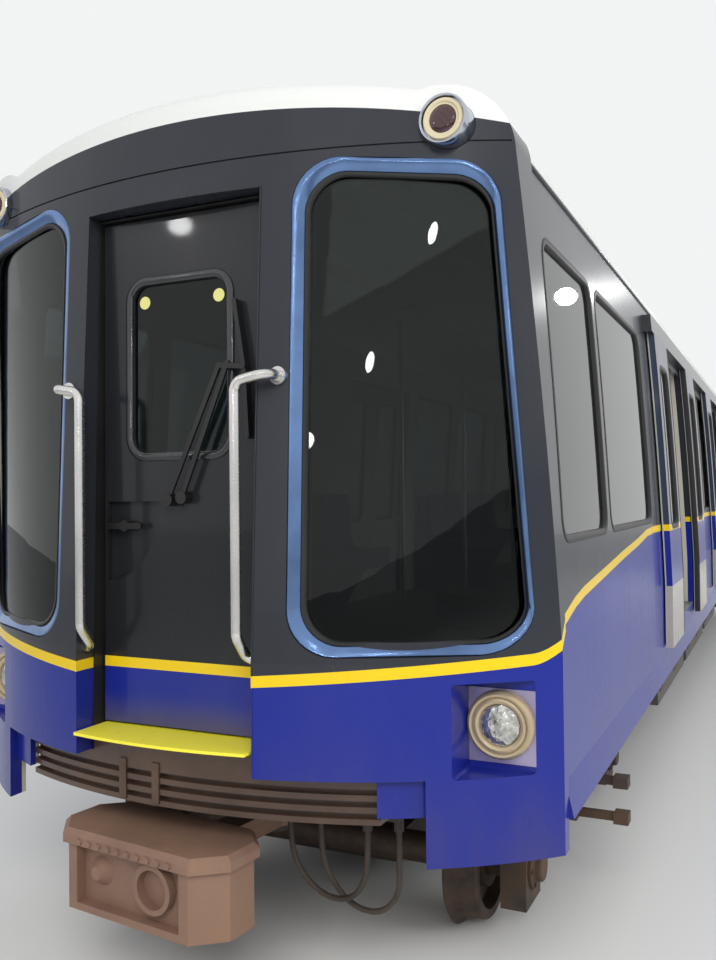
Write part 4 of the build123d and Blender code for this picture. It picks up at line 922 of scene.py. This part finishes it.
# Profiles of (radius, distance in front of the lamp's back)
tube_profile = ((0.0, 0.0), (0.0795, 0.0), (0.0795, 0.089), (0.077, 0.094), (0.0725, 0.0948), (0.070, 0.092),
                (0.0695, 0.076), (0.0, 0.076))
cream_profile = ((0.050, 0.078), (0.0665, 0.078), (0.0665, 0.086), (0.063, 0.0905), (0.055, 0.0905),
                 (0.050, 0.086))
red_profile = ((0.0, 0.076), (0.0495, 0.076), (0.049, 0.082), (0.043, 0.088), (0.030, 0.0925),
               (0.015, 0.0945), (0.0, 0.0949))
ring_profile = ((0.0, 0.0), (0.1115, 0.0), (0.1118, 0.024), (0.108, 0.033), (0.101, 0.0375), (0.094, 0.036),
                (0.0905, 0.029), (0.0895, 0.029), (0.087, 0.035), (0.080, 0.0375), (0.071, 0.034),
                (0.0665, 0.024), (0.0, 0.024))
lens_profile = ((0.0, 0.022), (0.067, 0.022), (0.066, 0.028), (0.055, 0.034), (0.035, 0.0385),
                (0.015, 0.0405), (0.0, 0.0410))
marker_y = -5.977
head_y = -5.848
plate_half_width = 0.1125


def lamp_shapes():
    """All the lamps of one end: five kinds of turned pieces, then the square plates."""
    groups = []
    turned_lamps = (
        (tube_profile, marker_place, marker_y, marker_z, 48),
        (cream_profile, marker_place, marker_y, marker_z, 48),
        (red_profile, marker_place, marker_y, marker_z, 48),
        (ring_profile, head_place, head_y, head_z, 64),
        (lens_profile, head_place, head_y, head_z, 64),
    )
    for profile, across, along, height, steps in turned_lamps:
        groups.append([turned_shape(profile, (side * across, along, height), (0, -1, 0), steps)
                       for side in (-1, 1)])
    groups.append([box_shape((side * head_place - plate_half_width, head_y - 0.0035, head_z - 0.128),
                             (side * head_place + plate_half_width, head_y - 0.0003, head_z + 0.114))
                   for side in (-1, 1)])
    return [joined(group) for group in groups]


lamp_finishes = (chrome, lamp_cream, red_lens, lamp_ring, crinkled, lamp_plate)
lamp_names = ("marker_tubes", "marker_rings", "marker_lenses", "headlight_rings", "headlight_lenses",
              "headlight_plates")
for end, shapes in both_ends(lamp_shapes):
    for shape, finish, name in zip(shapes, lamp_finishes, lamp_names):
        lamp = piece_from(shape, f"{end}_{name}", "carbody", finish, 35)
        if name == "headlight_rings" and end == "front":
            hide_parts("lamps")
print("lamp pieces", 2 * len(lamp_names))

# %% [markdown]
# ## Bolts
# One Geometry Nodes tree puts a hexagon head on every point of a mesh. Each point carries the direction
# in which its bolt faces.

# %% Bolt tree
def onto_points(tree, given, shape, axis, pivot="AUTO"):
    """Put a shape on each point, turn it the way the point faces, and make it real mesh of one material."""
    new, link = tree.nodes.new, tree.links.new
    facing = new("GeometryNodeInputNamedAttribute")
    facing.data_type = "FLOAT_VECTOR"
    facing.inputs["Name"].default_value = "facing"
    aim = new("FunctionNodeAlignRotationToVector")
    aim.axis = axis
    aim.pivot_axis = pivot
    link(facing.outputs["Attribute"], aim.inputs["Vector"])
    place = new("GeometryNodeInstanceOnPoints")
    link(given.outputs["Points"], place.inputs["Points"])
    link(shape, place.inputs["Instance"])
    link(aim.outputs[0], place.inputs["Rotation"])
    real = new("GeometryNodeRealizeInstances")
    link(place.outputs[0], real.inputs[0])
    paint = new("GeometryNodeSetMaterial")
    link(real.outputs[0], paint.inputs["Geometry"])
    link(given.outputs["Material"], paint.inputs["Material"])
    link(paint.outputs[0], new("NodeGroupOutput").inputs[0])


def bolt_tree():
    """Hexagon heads with a washer under each, on the points of a mesh."""
    tree = bpy.data.node_groups.new("bolt_heads", "GeometryNodeTree")
    face = tree.interface
    face.new_socket("Points", in_out="INPUT", socket_type="NodeSocketGeometry")
    for name, value in (("Head radius", 0.012), ("Head height", 0.008)):
        face.new_socket(name, in_out="INPUT", socket_type="NodeSocketFloat").default_value = value
    face.new_socket("Material", in_out="INPUT", socket_type="NodeSocketMaterial")
    face.new_socket("Heads", in_out="OUTPUT", socket_type="NodeSocketGeometry")
    new, link = tree.nodes.new, tree.links.new
    given = new("NodeGroupInput")
    head = new("GeometryNodeMeshCylinder")
    head.inputs["Vertices"].default_value = 6
    link(given.outputs["Head radius"], head.inputs["Radius"])
    link(given.outputs["Head height"], head.inputs["Depth"])
    washer = new("GeometryNodeMeshCylinder")
    washer.inputs["Vertices"].default_value = 20
    washer.inputs["Depth"].default_value = 0.003
    wide = new("ShaderNodeMath")
    wide.operation = "MULTIPLY"
    wide.inputs[1].default_value = 1.35
    link(given.outputs["Head radius"], wide.inputs[0])
    link(wide.outputs[0], washer.inputs["Radius"])
    lift = new("ShaderNodeMath")
    lift.operation = "MULTIPLY"
    lift.inputs[1].default_value = 0.5
    link(given.outputs["Head height"], lift.inputs[0])
    rise = new("ShaderNodeCombineXYZ")
    link(lift.outputs[0], rise.inputs["Z"])
    raised = new("GeometryNodeTransform")
    link(head.outputs["Mesh"], raised.inputs["Geometry"])
    link(rise.outputs[0], raised.inputs["Translation"])
    both = new("GeometryNodeJoinGeometry")
    link(raised.outputs[0], both.inputs[0])
    link(washer.outputs["Mesh"], both.inputs[0])
    onto_points(tree, given, both.outputs[0], "Z")
    return tree


bolt_group = bolt_tree()


def grown(name, body, spots, facings, group, finish, values=None, smooth_angle=30):
    """Run a tree on points that know which way they face, and keep what it makes as one mesh."""
    points = bpy.data.meshes.new(f"{name}_points")
    points.from_pydata([tuple(spot) for spot in spots], [], [])
    facing = points.attributes.new("facing", "FLOAT_VECTOR", "POINT")
    for place, way in enumerate(facings):
        facing.data[place].vector = way
    holder = bpy.data.objects.new(f"{name}_points", points)
    bpy.context.scene.collection.objects.link(holder)
    modifier = holder.modifiers.new("grow", "NODES")
    modifier.node_group = group
    for item in group.interface.items_tree:
        if item.in_out == "INPUT" and item.name in (values or {}):
            modifier[item.identifier] = values[item.name]
        if item.in_out == "INPUT" and item.name == "Material":
            modifier[item.identifier] = finish.material
    bpy.context.view_layer.update()
    settled = holder.evaluated_get(bpy.context.evaluated_depsgraph_get())
    mesh = bpy.data.meshes.new_from_object(settled)
    bpy.data.objects.remove(holder)
    thing = bpy.data.objects.new(name, mesh)
    bpy.context.scene.collection.objects.link(thing)
    for polygon in mesh.polygons:
        polygon.use_smooth = True
    mesh.set_sharp_from_angle(angle=math.radians(smooth_angle))
    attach(thing, body)
    return thing


# %% Bolts on the coupler's lid
coupler_turn = Matrix.Rotation(math.radians(-7), 4, "Z")
coupler_frame = Matrix.Translation((0, -5.5, 0)) @ coupler_turn @ Matrix.Translation((0, 5.5, 0))
half_turn = Matrix.Rotation(math.pi, 4, "Z")
lid_front = -6.34
bolt_row_half = 0.205
bolt_count = 10
bolt_pitch = 2 * bolt_row_half / (bolt_count - 1)
for end, spin in (("front", Matrix.Identity(4)), ("rear", half_turn)):
    place = spin @ coupler_frame
    spots = [place @ Vector((bolt_pitch * n - bolt_row_half, lid_front + 0.001, 0.560))
             for n in range(bolt_count)]
    facings = [place.to_3x3() @ Vector((0, -1, 0))] * len(spots)
    grown(f"{end}_coupler_bolts", f"{end}_coupling", spots, facings, bolt_group, coupler_iron,
          {"Head radius": 0.011, "Head height": 0.008})
print("coupler bolts", 2 * bolt_count)

# %% [markdown]
# ## Copies in rows
# Seats, hatches with louvres, roof seams and ceiling lights repeat along the car. Each is modelled once,
# facing +X, and a second tree puts a copy on every point of a mesh and turns it the way that the point
# faces.

# %% Copy tree
def copy_tree():
    """Copies of one object on the points of a mesh, each turned about Z to face its point's way."""
    tree = bpy.data.node_groups.new("copies_in_rows", "GeometryNodeTree")
    face = tree.interface
    face.new_socket("Points", in_out="INPUT", socket_type="NodeSocketGeometry")
    face.new_socket("Shape", in_out="INPUT", socket_type="NodeSocketObject")
    face.new_socket("Material", in_out="INPUT", socket_type="NodeSocketMaterial")
    face.new_socket("Copies", in_out="OUTPUT", socket_type="NodeSocketGeometry")
    new, link = tree.nodes.new, tree.links.new
    given = new("NodeGroupInput")
    model = new("GeometryNodeObjectInfo")
    link(given.outputs["Shape"], model.inputs["Object"])
    onto_points(tree, given, model.outputs["Geometry"], "X", "Z")
    return tree


copy_group = copy_tree()


def copied(shape, name, body, spots, facings, finish, smooth_angle=30):
    """Model a shape once, copy it onto the spots, and keep the copies as one piece."""
    mesh = bpy.data.meshes.new(f"{name}_model")
    shape.to_mesh(mesh)
    shape.free()
    model = bpy.data.objects.new(f"{name}_model", mesh)
    bpy.context.scene.collection.objects.link(model)
    made = grown(name, body, spots, facings, copy_group, finish, {"Shape": model}, smooth_angle)
    bpy.data.objects.remove(model)
    return made


def eased_box(low, high, ease=0.003):
    """A box with its edges bevelled a little, as pressed or cast parts have."""
    shape = box_shape(low, high)
    bmesh.ops.bevel(shape, geom=shape.edges[:], offset=ease, segments=2, affect="EDGES", profile=0.5)
    return shape


# %% [markdown]
# ## Seats
# The benches carry moulded plastic shells, one for each passenger. A shell is a grid: a bent profile from
# the top of its back to the front of its seat, with a rim that rises at both sides, and the grid is then
# given a thickness.

# %% Seat shells
# distance from the bench's back, height: six points of the back, then the seat
shell_profile = ((0.070, 1.748), (0.086, 1.742), (0.094, 1.700), (0.100, 1.600), (0.108, 1.480),
                 (0.122, 1.395), (0.150, 1.352), (0.200, 1.338), (0.280, 1.334), (0.360, 1.340),
                 (0.420, 1.348), (0.446, 1.342), (0.455, 1.315))
shell_back_points = 6
shell_stations = 13
shell_rim = 0.020
shell_thickness = 0.007
shell_width = 0.440
bench_back_x = 1.135


def seat_shell(width):
    """One shell; X is the distance from the bench's back, Y runs across the shell."""
    shape = bmesh.new()
    rows = []
    for number, (deep, high) in enumerate(shell_profile):
        narrow = 1 - 0.05 * abs(2 * number / (len(shell_profile) - 1) - 1) ** 4
        forward_rim, upward_rim = (1, 0.2) if number < shell_back_points else (0.2, 1)
        row = []
        for station in range(shell_stations):
            share = 2 * station / (shell_stations - 1) - 1
            rim = shell_rim * abs(share) ** 5
            row.append(shape.verts.new((deep + rim * forward_rim, share * width / 2 * narrow,
                                        high + rim * upward_rim)))
        rows.append(row)
    for first, second in zip(rows, rows[1:]):
        for place in range(shell_stations - 1):
            shape.faces.new((first[place], first[place + 1], second[place + 1], second[place]))
    bmesh.ops.recalc_face_normals(shape, faces=shape.faces)
    bmesh.ops.solidify(shape, geom=shape.faces[:], thickness=shell_thickness)
    bmesh.ops.recalc_face_normals(shape, faces=shape.faces)
    return shape


seat_rows = (
    # first seat, last seat, how many
    (-5.241, -2.895, 6), (-0.780, 0.780, 4), (2.895, 5.241, 6),
)
seat_spots, seat_ways = [], []
for first, last, count in seat_rows:
    for number in range(count):
        along = first + (last - first) * number / (count - 1)
        for side in (-1, 1):
            seat_spots.append((side * bench_back_x, along, 0))
            seat_ways.append((-side, 0, 0))
copied(seat_shell(shell_width), "seat_shells", "carbody", seat_spots, seat_ways, seat_plastic, 50)
print("seats", len(seat_spots))

# %% [markdown]
# ## Roof and ceiling
# Raised seams cross the roof where its sheets join. Inside, two rows of light covers run along the
# ceiling. The covers are off, so they are plain milky plastic.

# %% Roof seams and light covers
def roof_z(x, drop=0.0):
    """How high the roof's skin is at one place across, less a drop."""
    return crown_z - drop - x * x / crown_bend


seam_half = 0.93
seam_steps = 32
seam_section = ((-0.012, 0.0), (-0.008, 0.004), (0.0, 0.0055), (0.008, 0.004), (0.012, 0.0))
seam_pitch = 1.65
seam_places = [seam_pitch * n for n in range(-3, 4)]


def seam_shape():
    """One raised seam that follows the roof's curve from side to side."""
    loops = []
    for step in range(seam_steps + 1):
        across = seam_half * (2 * step / seam_steps - 1)
        loops.append([(along, across, roof_z(across, 0.002) + rise) for along, rise in seam_section])
    return shape_from_loops(loops, ring=False, caps=True)


copied(seam_shape(), "roof_seams", "carbody", [(0, along, 0) for along in seam_places],
       [(0, 1, 0)] * len(seam_places), roof_paint)

light_cover = worn("light_cover", None, shade(214, 214, 206), shade(200, 200, 190), 90, (0.3, 0.4),
                   dirt=0.0, bump=0.05)
cover_half_width = 0.075
cover_depth = 0.034
cover_half_length = 0.55
cover_end = 0.01
cover_x = 0.42
cover_pitch = 1.2
ceiling_drop = 0.071


def cover_shape():
    """A shallow trough hung from the ceiling, drawn in a little at both ends."""
    angles = [math.pi * n / 12 for n in range(13)]
    section = [(cover_half_width * math.cos(angle), -cover_depth * math.sin(angle)) for angle in angles]
    inner = cover_half_length - cover_end
    stations = ((-cover_half_length, 0.90), (-inner, 1.0), (inner, 1.0), (cover_half_length, 0.90))
    loops = [[(along, across * grow, deep * grow) for across, deep in section] for along, grow in stations]
    return shape_from_loops(loops, ring=False, caps=True)


cover_spots = [(side * cover_x, cover_pitch * n, roof_z(cover_x, ceiling_drop))
               for side in (-1, 1) for n in range(-4, 5)]
copied(cover_shape(), "light_covers", "carbody", cover_spots, [(0, 1, 0)] * len(cover_spots), light_cover, 50)
print("roof seams", len(seam_places), "light covers", len(cover_spots))

# %% [markdown]
# ## Side windows and side doors
# Every side window sits in a black rubber gasket that follows the curve of the wall. The door leaves have
# the same gasket round their panes, a rubber lip along the edge where two leaves meet, and a ribbed tread
# under each doorway.

# %% Gaskets, lips and treads
def wall_x(z):
    """How far out the wall's skin lies at one height."""
    return side_line(max(0.0, (z - waist_z) / side_height))


ring_step = 0.12


def window_ring(side, start, end, low, high, radius, section, off_wall=0.0):
    """A ring round an opening in the side; its section is (how far outside the opening, how far out)."""
    loops = []
    for grow, out in section:
        corners = [(start - grow, low - grow), (end + grow, low - grow), (end + grow, high + grow),
                   (start - grow, high + grow)]
        outline = rounded(corners, radius + grow, 8)
        dense = []
        for number, point in enumerate(outline):
            after = outline[(number + 1) % len(outline)]
            parts = max(1, round((after - point).length / ring_step))
            dense += [point.lerp(after, n / parts) for n in range(parts)]
        loops.append(dense)
    count = min(len(loop) for loop in loops)
    assert all(len(loop) == count for loop in loops)
    return shape_from_loops([[(side * (wall_x(z) + off_wall + out), y, z) for y, z in loop]
                             for loop, (grow, out) in zip(loops, section)])


gasket_in_wall = ((0.014, -0.002), (0.013, 0.002), (0.004, 0.003), (-0.008, 0.001), (-0.014, -0.006),
                  (-0.016, -0.0137), (0.0, -0.0137))
window_low, window_high, window_corner = 1.578, 2.628, 0.080
# start and end of each window along the wall
wall_windows = ((-5.635, -4.800), (-4.700, -3.420), (-1.080, -0.060), (0.060, 1.080), (3.420, 4.700),
                (4.800, 5.635))
rings = [window_ring(side, start, end, window_low, window_high, window_corner, gasket_in_wall)
         for side in (-1, 1) for start, end in wall_windows]
piece_from(joined(rings), "side_window_gaskets", "carbody", seal_rubber, 40)

leaf_skin = 0.050
pane_half_width, pane_low, pane_high, pane_corner = 0.190, 1.528, 2.508, 0.070
lip_low, lip_length, lip_steps = 0.822, 1.862, 14
# how far out of the leaf's skin, how far past the leaf's edge
lip_section = ((-0.040, -0.004), (-0.036, 0.0022), (-0.006, 0.0022), (0.0012, -0.001), (0.0016, -0.016),
               (-0.004, -0.016))
gasket_in_leaf = ((0.014, -0.002), (0.013, 0.002), (0.004, 0.003), (-0.008, 0.001), (-0.014, -0.008),
                  (-0.016, -0.0157), (0.0, -0.0157))
for name in sorted(door_nodes):
    low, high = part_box(name)
    side = 1 if "right" in name else -1
    middle = (low[1] + high[1]) / 2
    meets = high[1] if name.endswith("fore") else low[1]
    way = 1 if name.endswith("fore") else -1
    ring = window_ring(side, middle - pane_half_width, middle + pane_half_width, pane_low, pane_high,
                       pane_corner, gasket_in_leaf, leaf_skin)
    lip = []
    for step in range(lip_steps + 1):
        height = lip_low + lip_length * step / lip_steps
        skin = wall_x(height) + leaf_skin
        lip.append([(side * (skin + out), meets + way * along, height) for out, along in lip_section])
    shapes = [ring, shape_from_loops(lip, ring=False, caps=True)]
    piece_from(joined(shapes), f"{name}_rubbers", nodes[name]["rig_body"], seal_rubber, 40)

tread_metal = worn("tread_metal", None, shade(170, 170, 168), shade(146, 144, 140), 120, (0.3, 0.5),
                   metal=0.8, dirt=0.0, bump=0.2)
doorway_y = 1.85
tread_half_length = 0.579
tread_inner, tread_outer = 1.166, 1.2345
tread_under, tread_flat, rib_top = 0.8922, 0.8945, 0.8972
first_rib, rib_pitch, rib_count = 1.172, 0.012, 5
tread_section = [(tread_inner, tread_under), (tread_inner, tread_flat)]
for rib in range(rib_count):
    start = first_rib + rib * rib_pitch
    tread_section += [(start, tread_flat), (start + 0.002, rib_top), (start + 0.006, rib_top),
                      (start + 0.008, tread_flat)]
tread_section += [(tread_outer, tread_flat), (tread_outer, tread_under)]
treads = []
for side in (-1, 1):
    for centre in (-doorway_y, doorway_y):
        ends = [[(side * x, centre + way * tread_half_length, z) for x, z in tread_section]
                for way in (-1, 1)]
        treads.append(shape_from_loops(ends, ring=False, caps=True))
piece_from(joined(treads), "doorway_treads", "carbody", tread_metal, 30)
print("gaskets", len(rings) + len(door_nodes), "treads", len(treads))

# %% [markdown]
# ## Under the floor
# Each bogie carries two rubber air bellows under the body and a bolted cover over every axle end. The
# boxes between the bogies have hatches with louvres and two latches each.

# %% Bellows, axle covers and hatches
bellows_rubber = worn("bellows_rubber", None, shade(34, 32, 31), shade(50, 45, 41), 120, (0.45, 0.65),
                      dirt=0.5)
bellows_x, bellows_foot, fold_pitch = 0.70, 0.5285, 0.032
fold_section = ((0.148, 0.004), (0.163, 0.010), (0.168, 0.018), (0.163, 0.026), (0.148, 0.032))
bellows_profile = [(0.0, 0.0006), (0.125, 0.0006)]
for fold in range(3):
    bellows_profile += [(radius, height + fold * fold_pitch) for radius, height in fold_section]
bellows_profile += [(0.125, 0.0990), (0.0, 0.0990)]
cover_profile = ((0.0, 0.0004), (0.088, 0.0004), (0.088, 0.012), (0.084, 0.015), (0.066, 0.016),
                 (0.060, 0.022), (0.058, 0.040), (0.052, 0.046), (0.0, 0.047))
pivot_y, axle_offset, axle_z, box_face = 4.3, 0.85, 0.263, 0.972
cover_bolts, cover_bolt_radius, cover_flange = 6, 0.076, 0.0165
for end, way in (("front", -1), ("rear", 1)):
    pivot = way * pivot_y
    body = f"{end}_bogie"
    bellows = [turned_shape(bellows_profile, (side * bellows_x, pivot, bellows_foot), (0, 0, 1), 40)
               for side in (-1, 1)]
    piece_from(joined(bellows), f"{end}_bellows", body, bellows_rubber, 60)
    covers, spots, facings = [], [], []
    for side in (-1, 1):
        for axle in (-axle_offset, axle_offset):
            centre = Vector((side * box_face, pivot + axle, axle_z))
            covers.append(turned_shape(cover_profile, centre, (side, 0, 0), 32))
            for number in range(cover_bolts):
                angle = math.tau * number / cover_bolts
                spots.append(centre + Vector((side * cover_flange, cover_bolt_radius * math.cos(angle),
                                              cover_bolt_radius * math.sin(angle))))
                facings.append((side, 0, 0))
    piece_from(joined(covers), f"{end}_axle_covers", body, bogie_steel, 35)
    grown(f"{end}_axle_cover_bolts", body, spots, facings, bolt_group, bogie_steel,
          {"Head radius": 0.0075, "Head height": 0.006})


latch_profile = ((0.0, 0.004), (0.016, 0.004), (0.016, 0.007), (0.012, 0.009), (0.0, 0.009))


def hatch_shape():
    """A pressed hatch, facing +X: a plate, a column of louvres and two quarter-turn latches."""
    plate_half, plate_half_height, slat_pitch = 0.285, 0.100, 0.021
    parts = [eased_box((0.0003, -plate_half, -plate_half_height),
                       (0.005, plate_half, plate_half_height), 0.002)]
    for slat in range(7):
        base = slat * slat_pitch - 0.072
        loops = [[(0.004, along, base), (0.0125, along, base + 0.002), (0.0135, along, base + 0.004),
                  (0.004, along, base + 0.014)] for along in (-0.215, 0.055)]
        parts.append(shape_from_loops(loops, ring=False, caps=True))
    for along in (-0.25, 0.25):
        parts.append(turned_shape(latch_profile, (0, along, 0.062), (1, 0, 0), 20))
        parts.append(eased_box((0.008, along - 0.003, 0.050), (0.013, along + 0.003, 0.074), 0.001))
    return joined(parts)


hatch_spots, hatch_ways = [], []
box_face_x, hatch_z = 1.120, 0.512
hatch_rows = {
    # side: where each hatch is along the car
    1: (-2.10, -1.30, -0.30, 0.50, 1.45, 2.12),
    -1: (-2.13, -1.40, -0.67, 0.25, 0.90, 1.55, 2.20),
}
for side, places in hatch_rows.items():
    for along in places:
        hatch_spots.append((side * box_face_x, along, hatch_z))
        hatch_ways.append((side, 0, 0))
copied(hatch_shape(), "equipment_hatches", "carbody", hatch_spots, hatch_ways, box_steel)
print("hatches", len(hatch_spots))

# %% [markdown]
# ## Trim on the body
# A half-round gutter runs along each side under the roof. Two straps tie the bars of the bumper together,
# and a thin bead of paint finishes the edge of the end doorway, where it catches the light.

# %% Gutters, straps and doorway bead
gutter_x, gutter_z, gutter_half_length = 1.137, 2.856, 5.722
gutter_angles = [math.pi * n / 8 for n in range(9)]
gutter_section = [(0.010 * math.sin(angle), 0.009 * math.cos(angle)) for angle in gutter_angles]
gutters = []
for side in (-1, 1):
    ends = [[(side * (gutter_x + out), along, gutter_z + up) for out, up in gutter_section]
            for along in (-gutter_half_length, gutter_half_length)]
    gutters.append(shape_from_loops(ends, ring=False, caps=True))
piece_from(joined(gutters), "roof_gutters", "carbody", side_paint, 50)


bumper_half, bumper_rise, bumper_nose_y = 0.725, 0.130, -6.215
strap_places = (-0.200, -0.054)
strap_half, strap_low, strap_high = 0.015, 0.694, 0.834


def bumper_y(x):
    """The front of the bumper at one place across: an arc through its nose and both ends."""
    radius = (bumper_half ** 2 + bumper_rise ** 2) / (2 * bumper_rise)
    return bumper_nose_y + radius - math.sqrt(radius ** 2 - x ** 2)


def strap_shapes():
    """Two flat straps over the bars of the bumper."""
    return [joined([eased_box((x - strap_half, bumper_y(x) - 0.007, strap_low),
                              (x + strap_half, bumper_y(x) + 0.004, strap_high), 0.002)
                    for x in strap_places])]


for end, shapes in both_ends(strap_shapes):
    piece_from(shapes[0], f"{end}_bumper_straps", "carbody", bumper_rubber)


bead_radius, bead_steps, bead_sunk = 0.0028, 24, 0.0005
jamb_x, doorway_head = 0.360, 2.7585
jamb_low, jamb_length, jamb_gap = 0.846, 1.910, 0.0005
bead_angles = [math.tau * n / 8 for n in range(8)]
bead_circle = [(bead_radius * math.cos(angle), bead_radius * math.sin(angle)) for angle in bead_angles]


def bead_shapes():
    """A thin bead along the doorway's two jambs and its head."""
    beads = []
    for side in (-1, 1):
        heights = [jamb_low + jamb_length * n / bead_steps for n in range(bead_steps + 1)]
        line = [(side * (jamb_x + jamb_gap), face_y(jamb_x, z) - bead_sunk, z) for z in heights]
        loops = [[(x + one, y + two, z) for one, two in bead_circle] for x, y, z in line]
        beads.append(shape_from_loops(loops, ring=False, caps=True))
    places = [jamb_x * (2 * n / bead_steps - 1) for n in range(bead_steps + 1)]
    line = [(x, face_y(x, doorway_head) - bead_sunk, doorway_head) for x in places]
    loops = [[(x, y + one, z + two) for one, two in bead_circle] for x, y, z in line]
    beads.append(shape_from_loops(loops, ring=False, caps=True))
    return [joined(beads)]


for end, shapes in both_ends(bead_shapes):
    piece_from(shapes[0], f"{end}_doorway_bead", "carbody", front_paint, 60)
print("trim done")
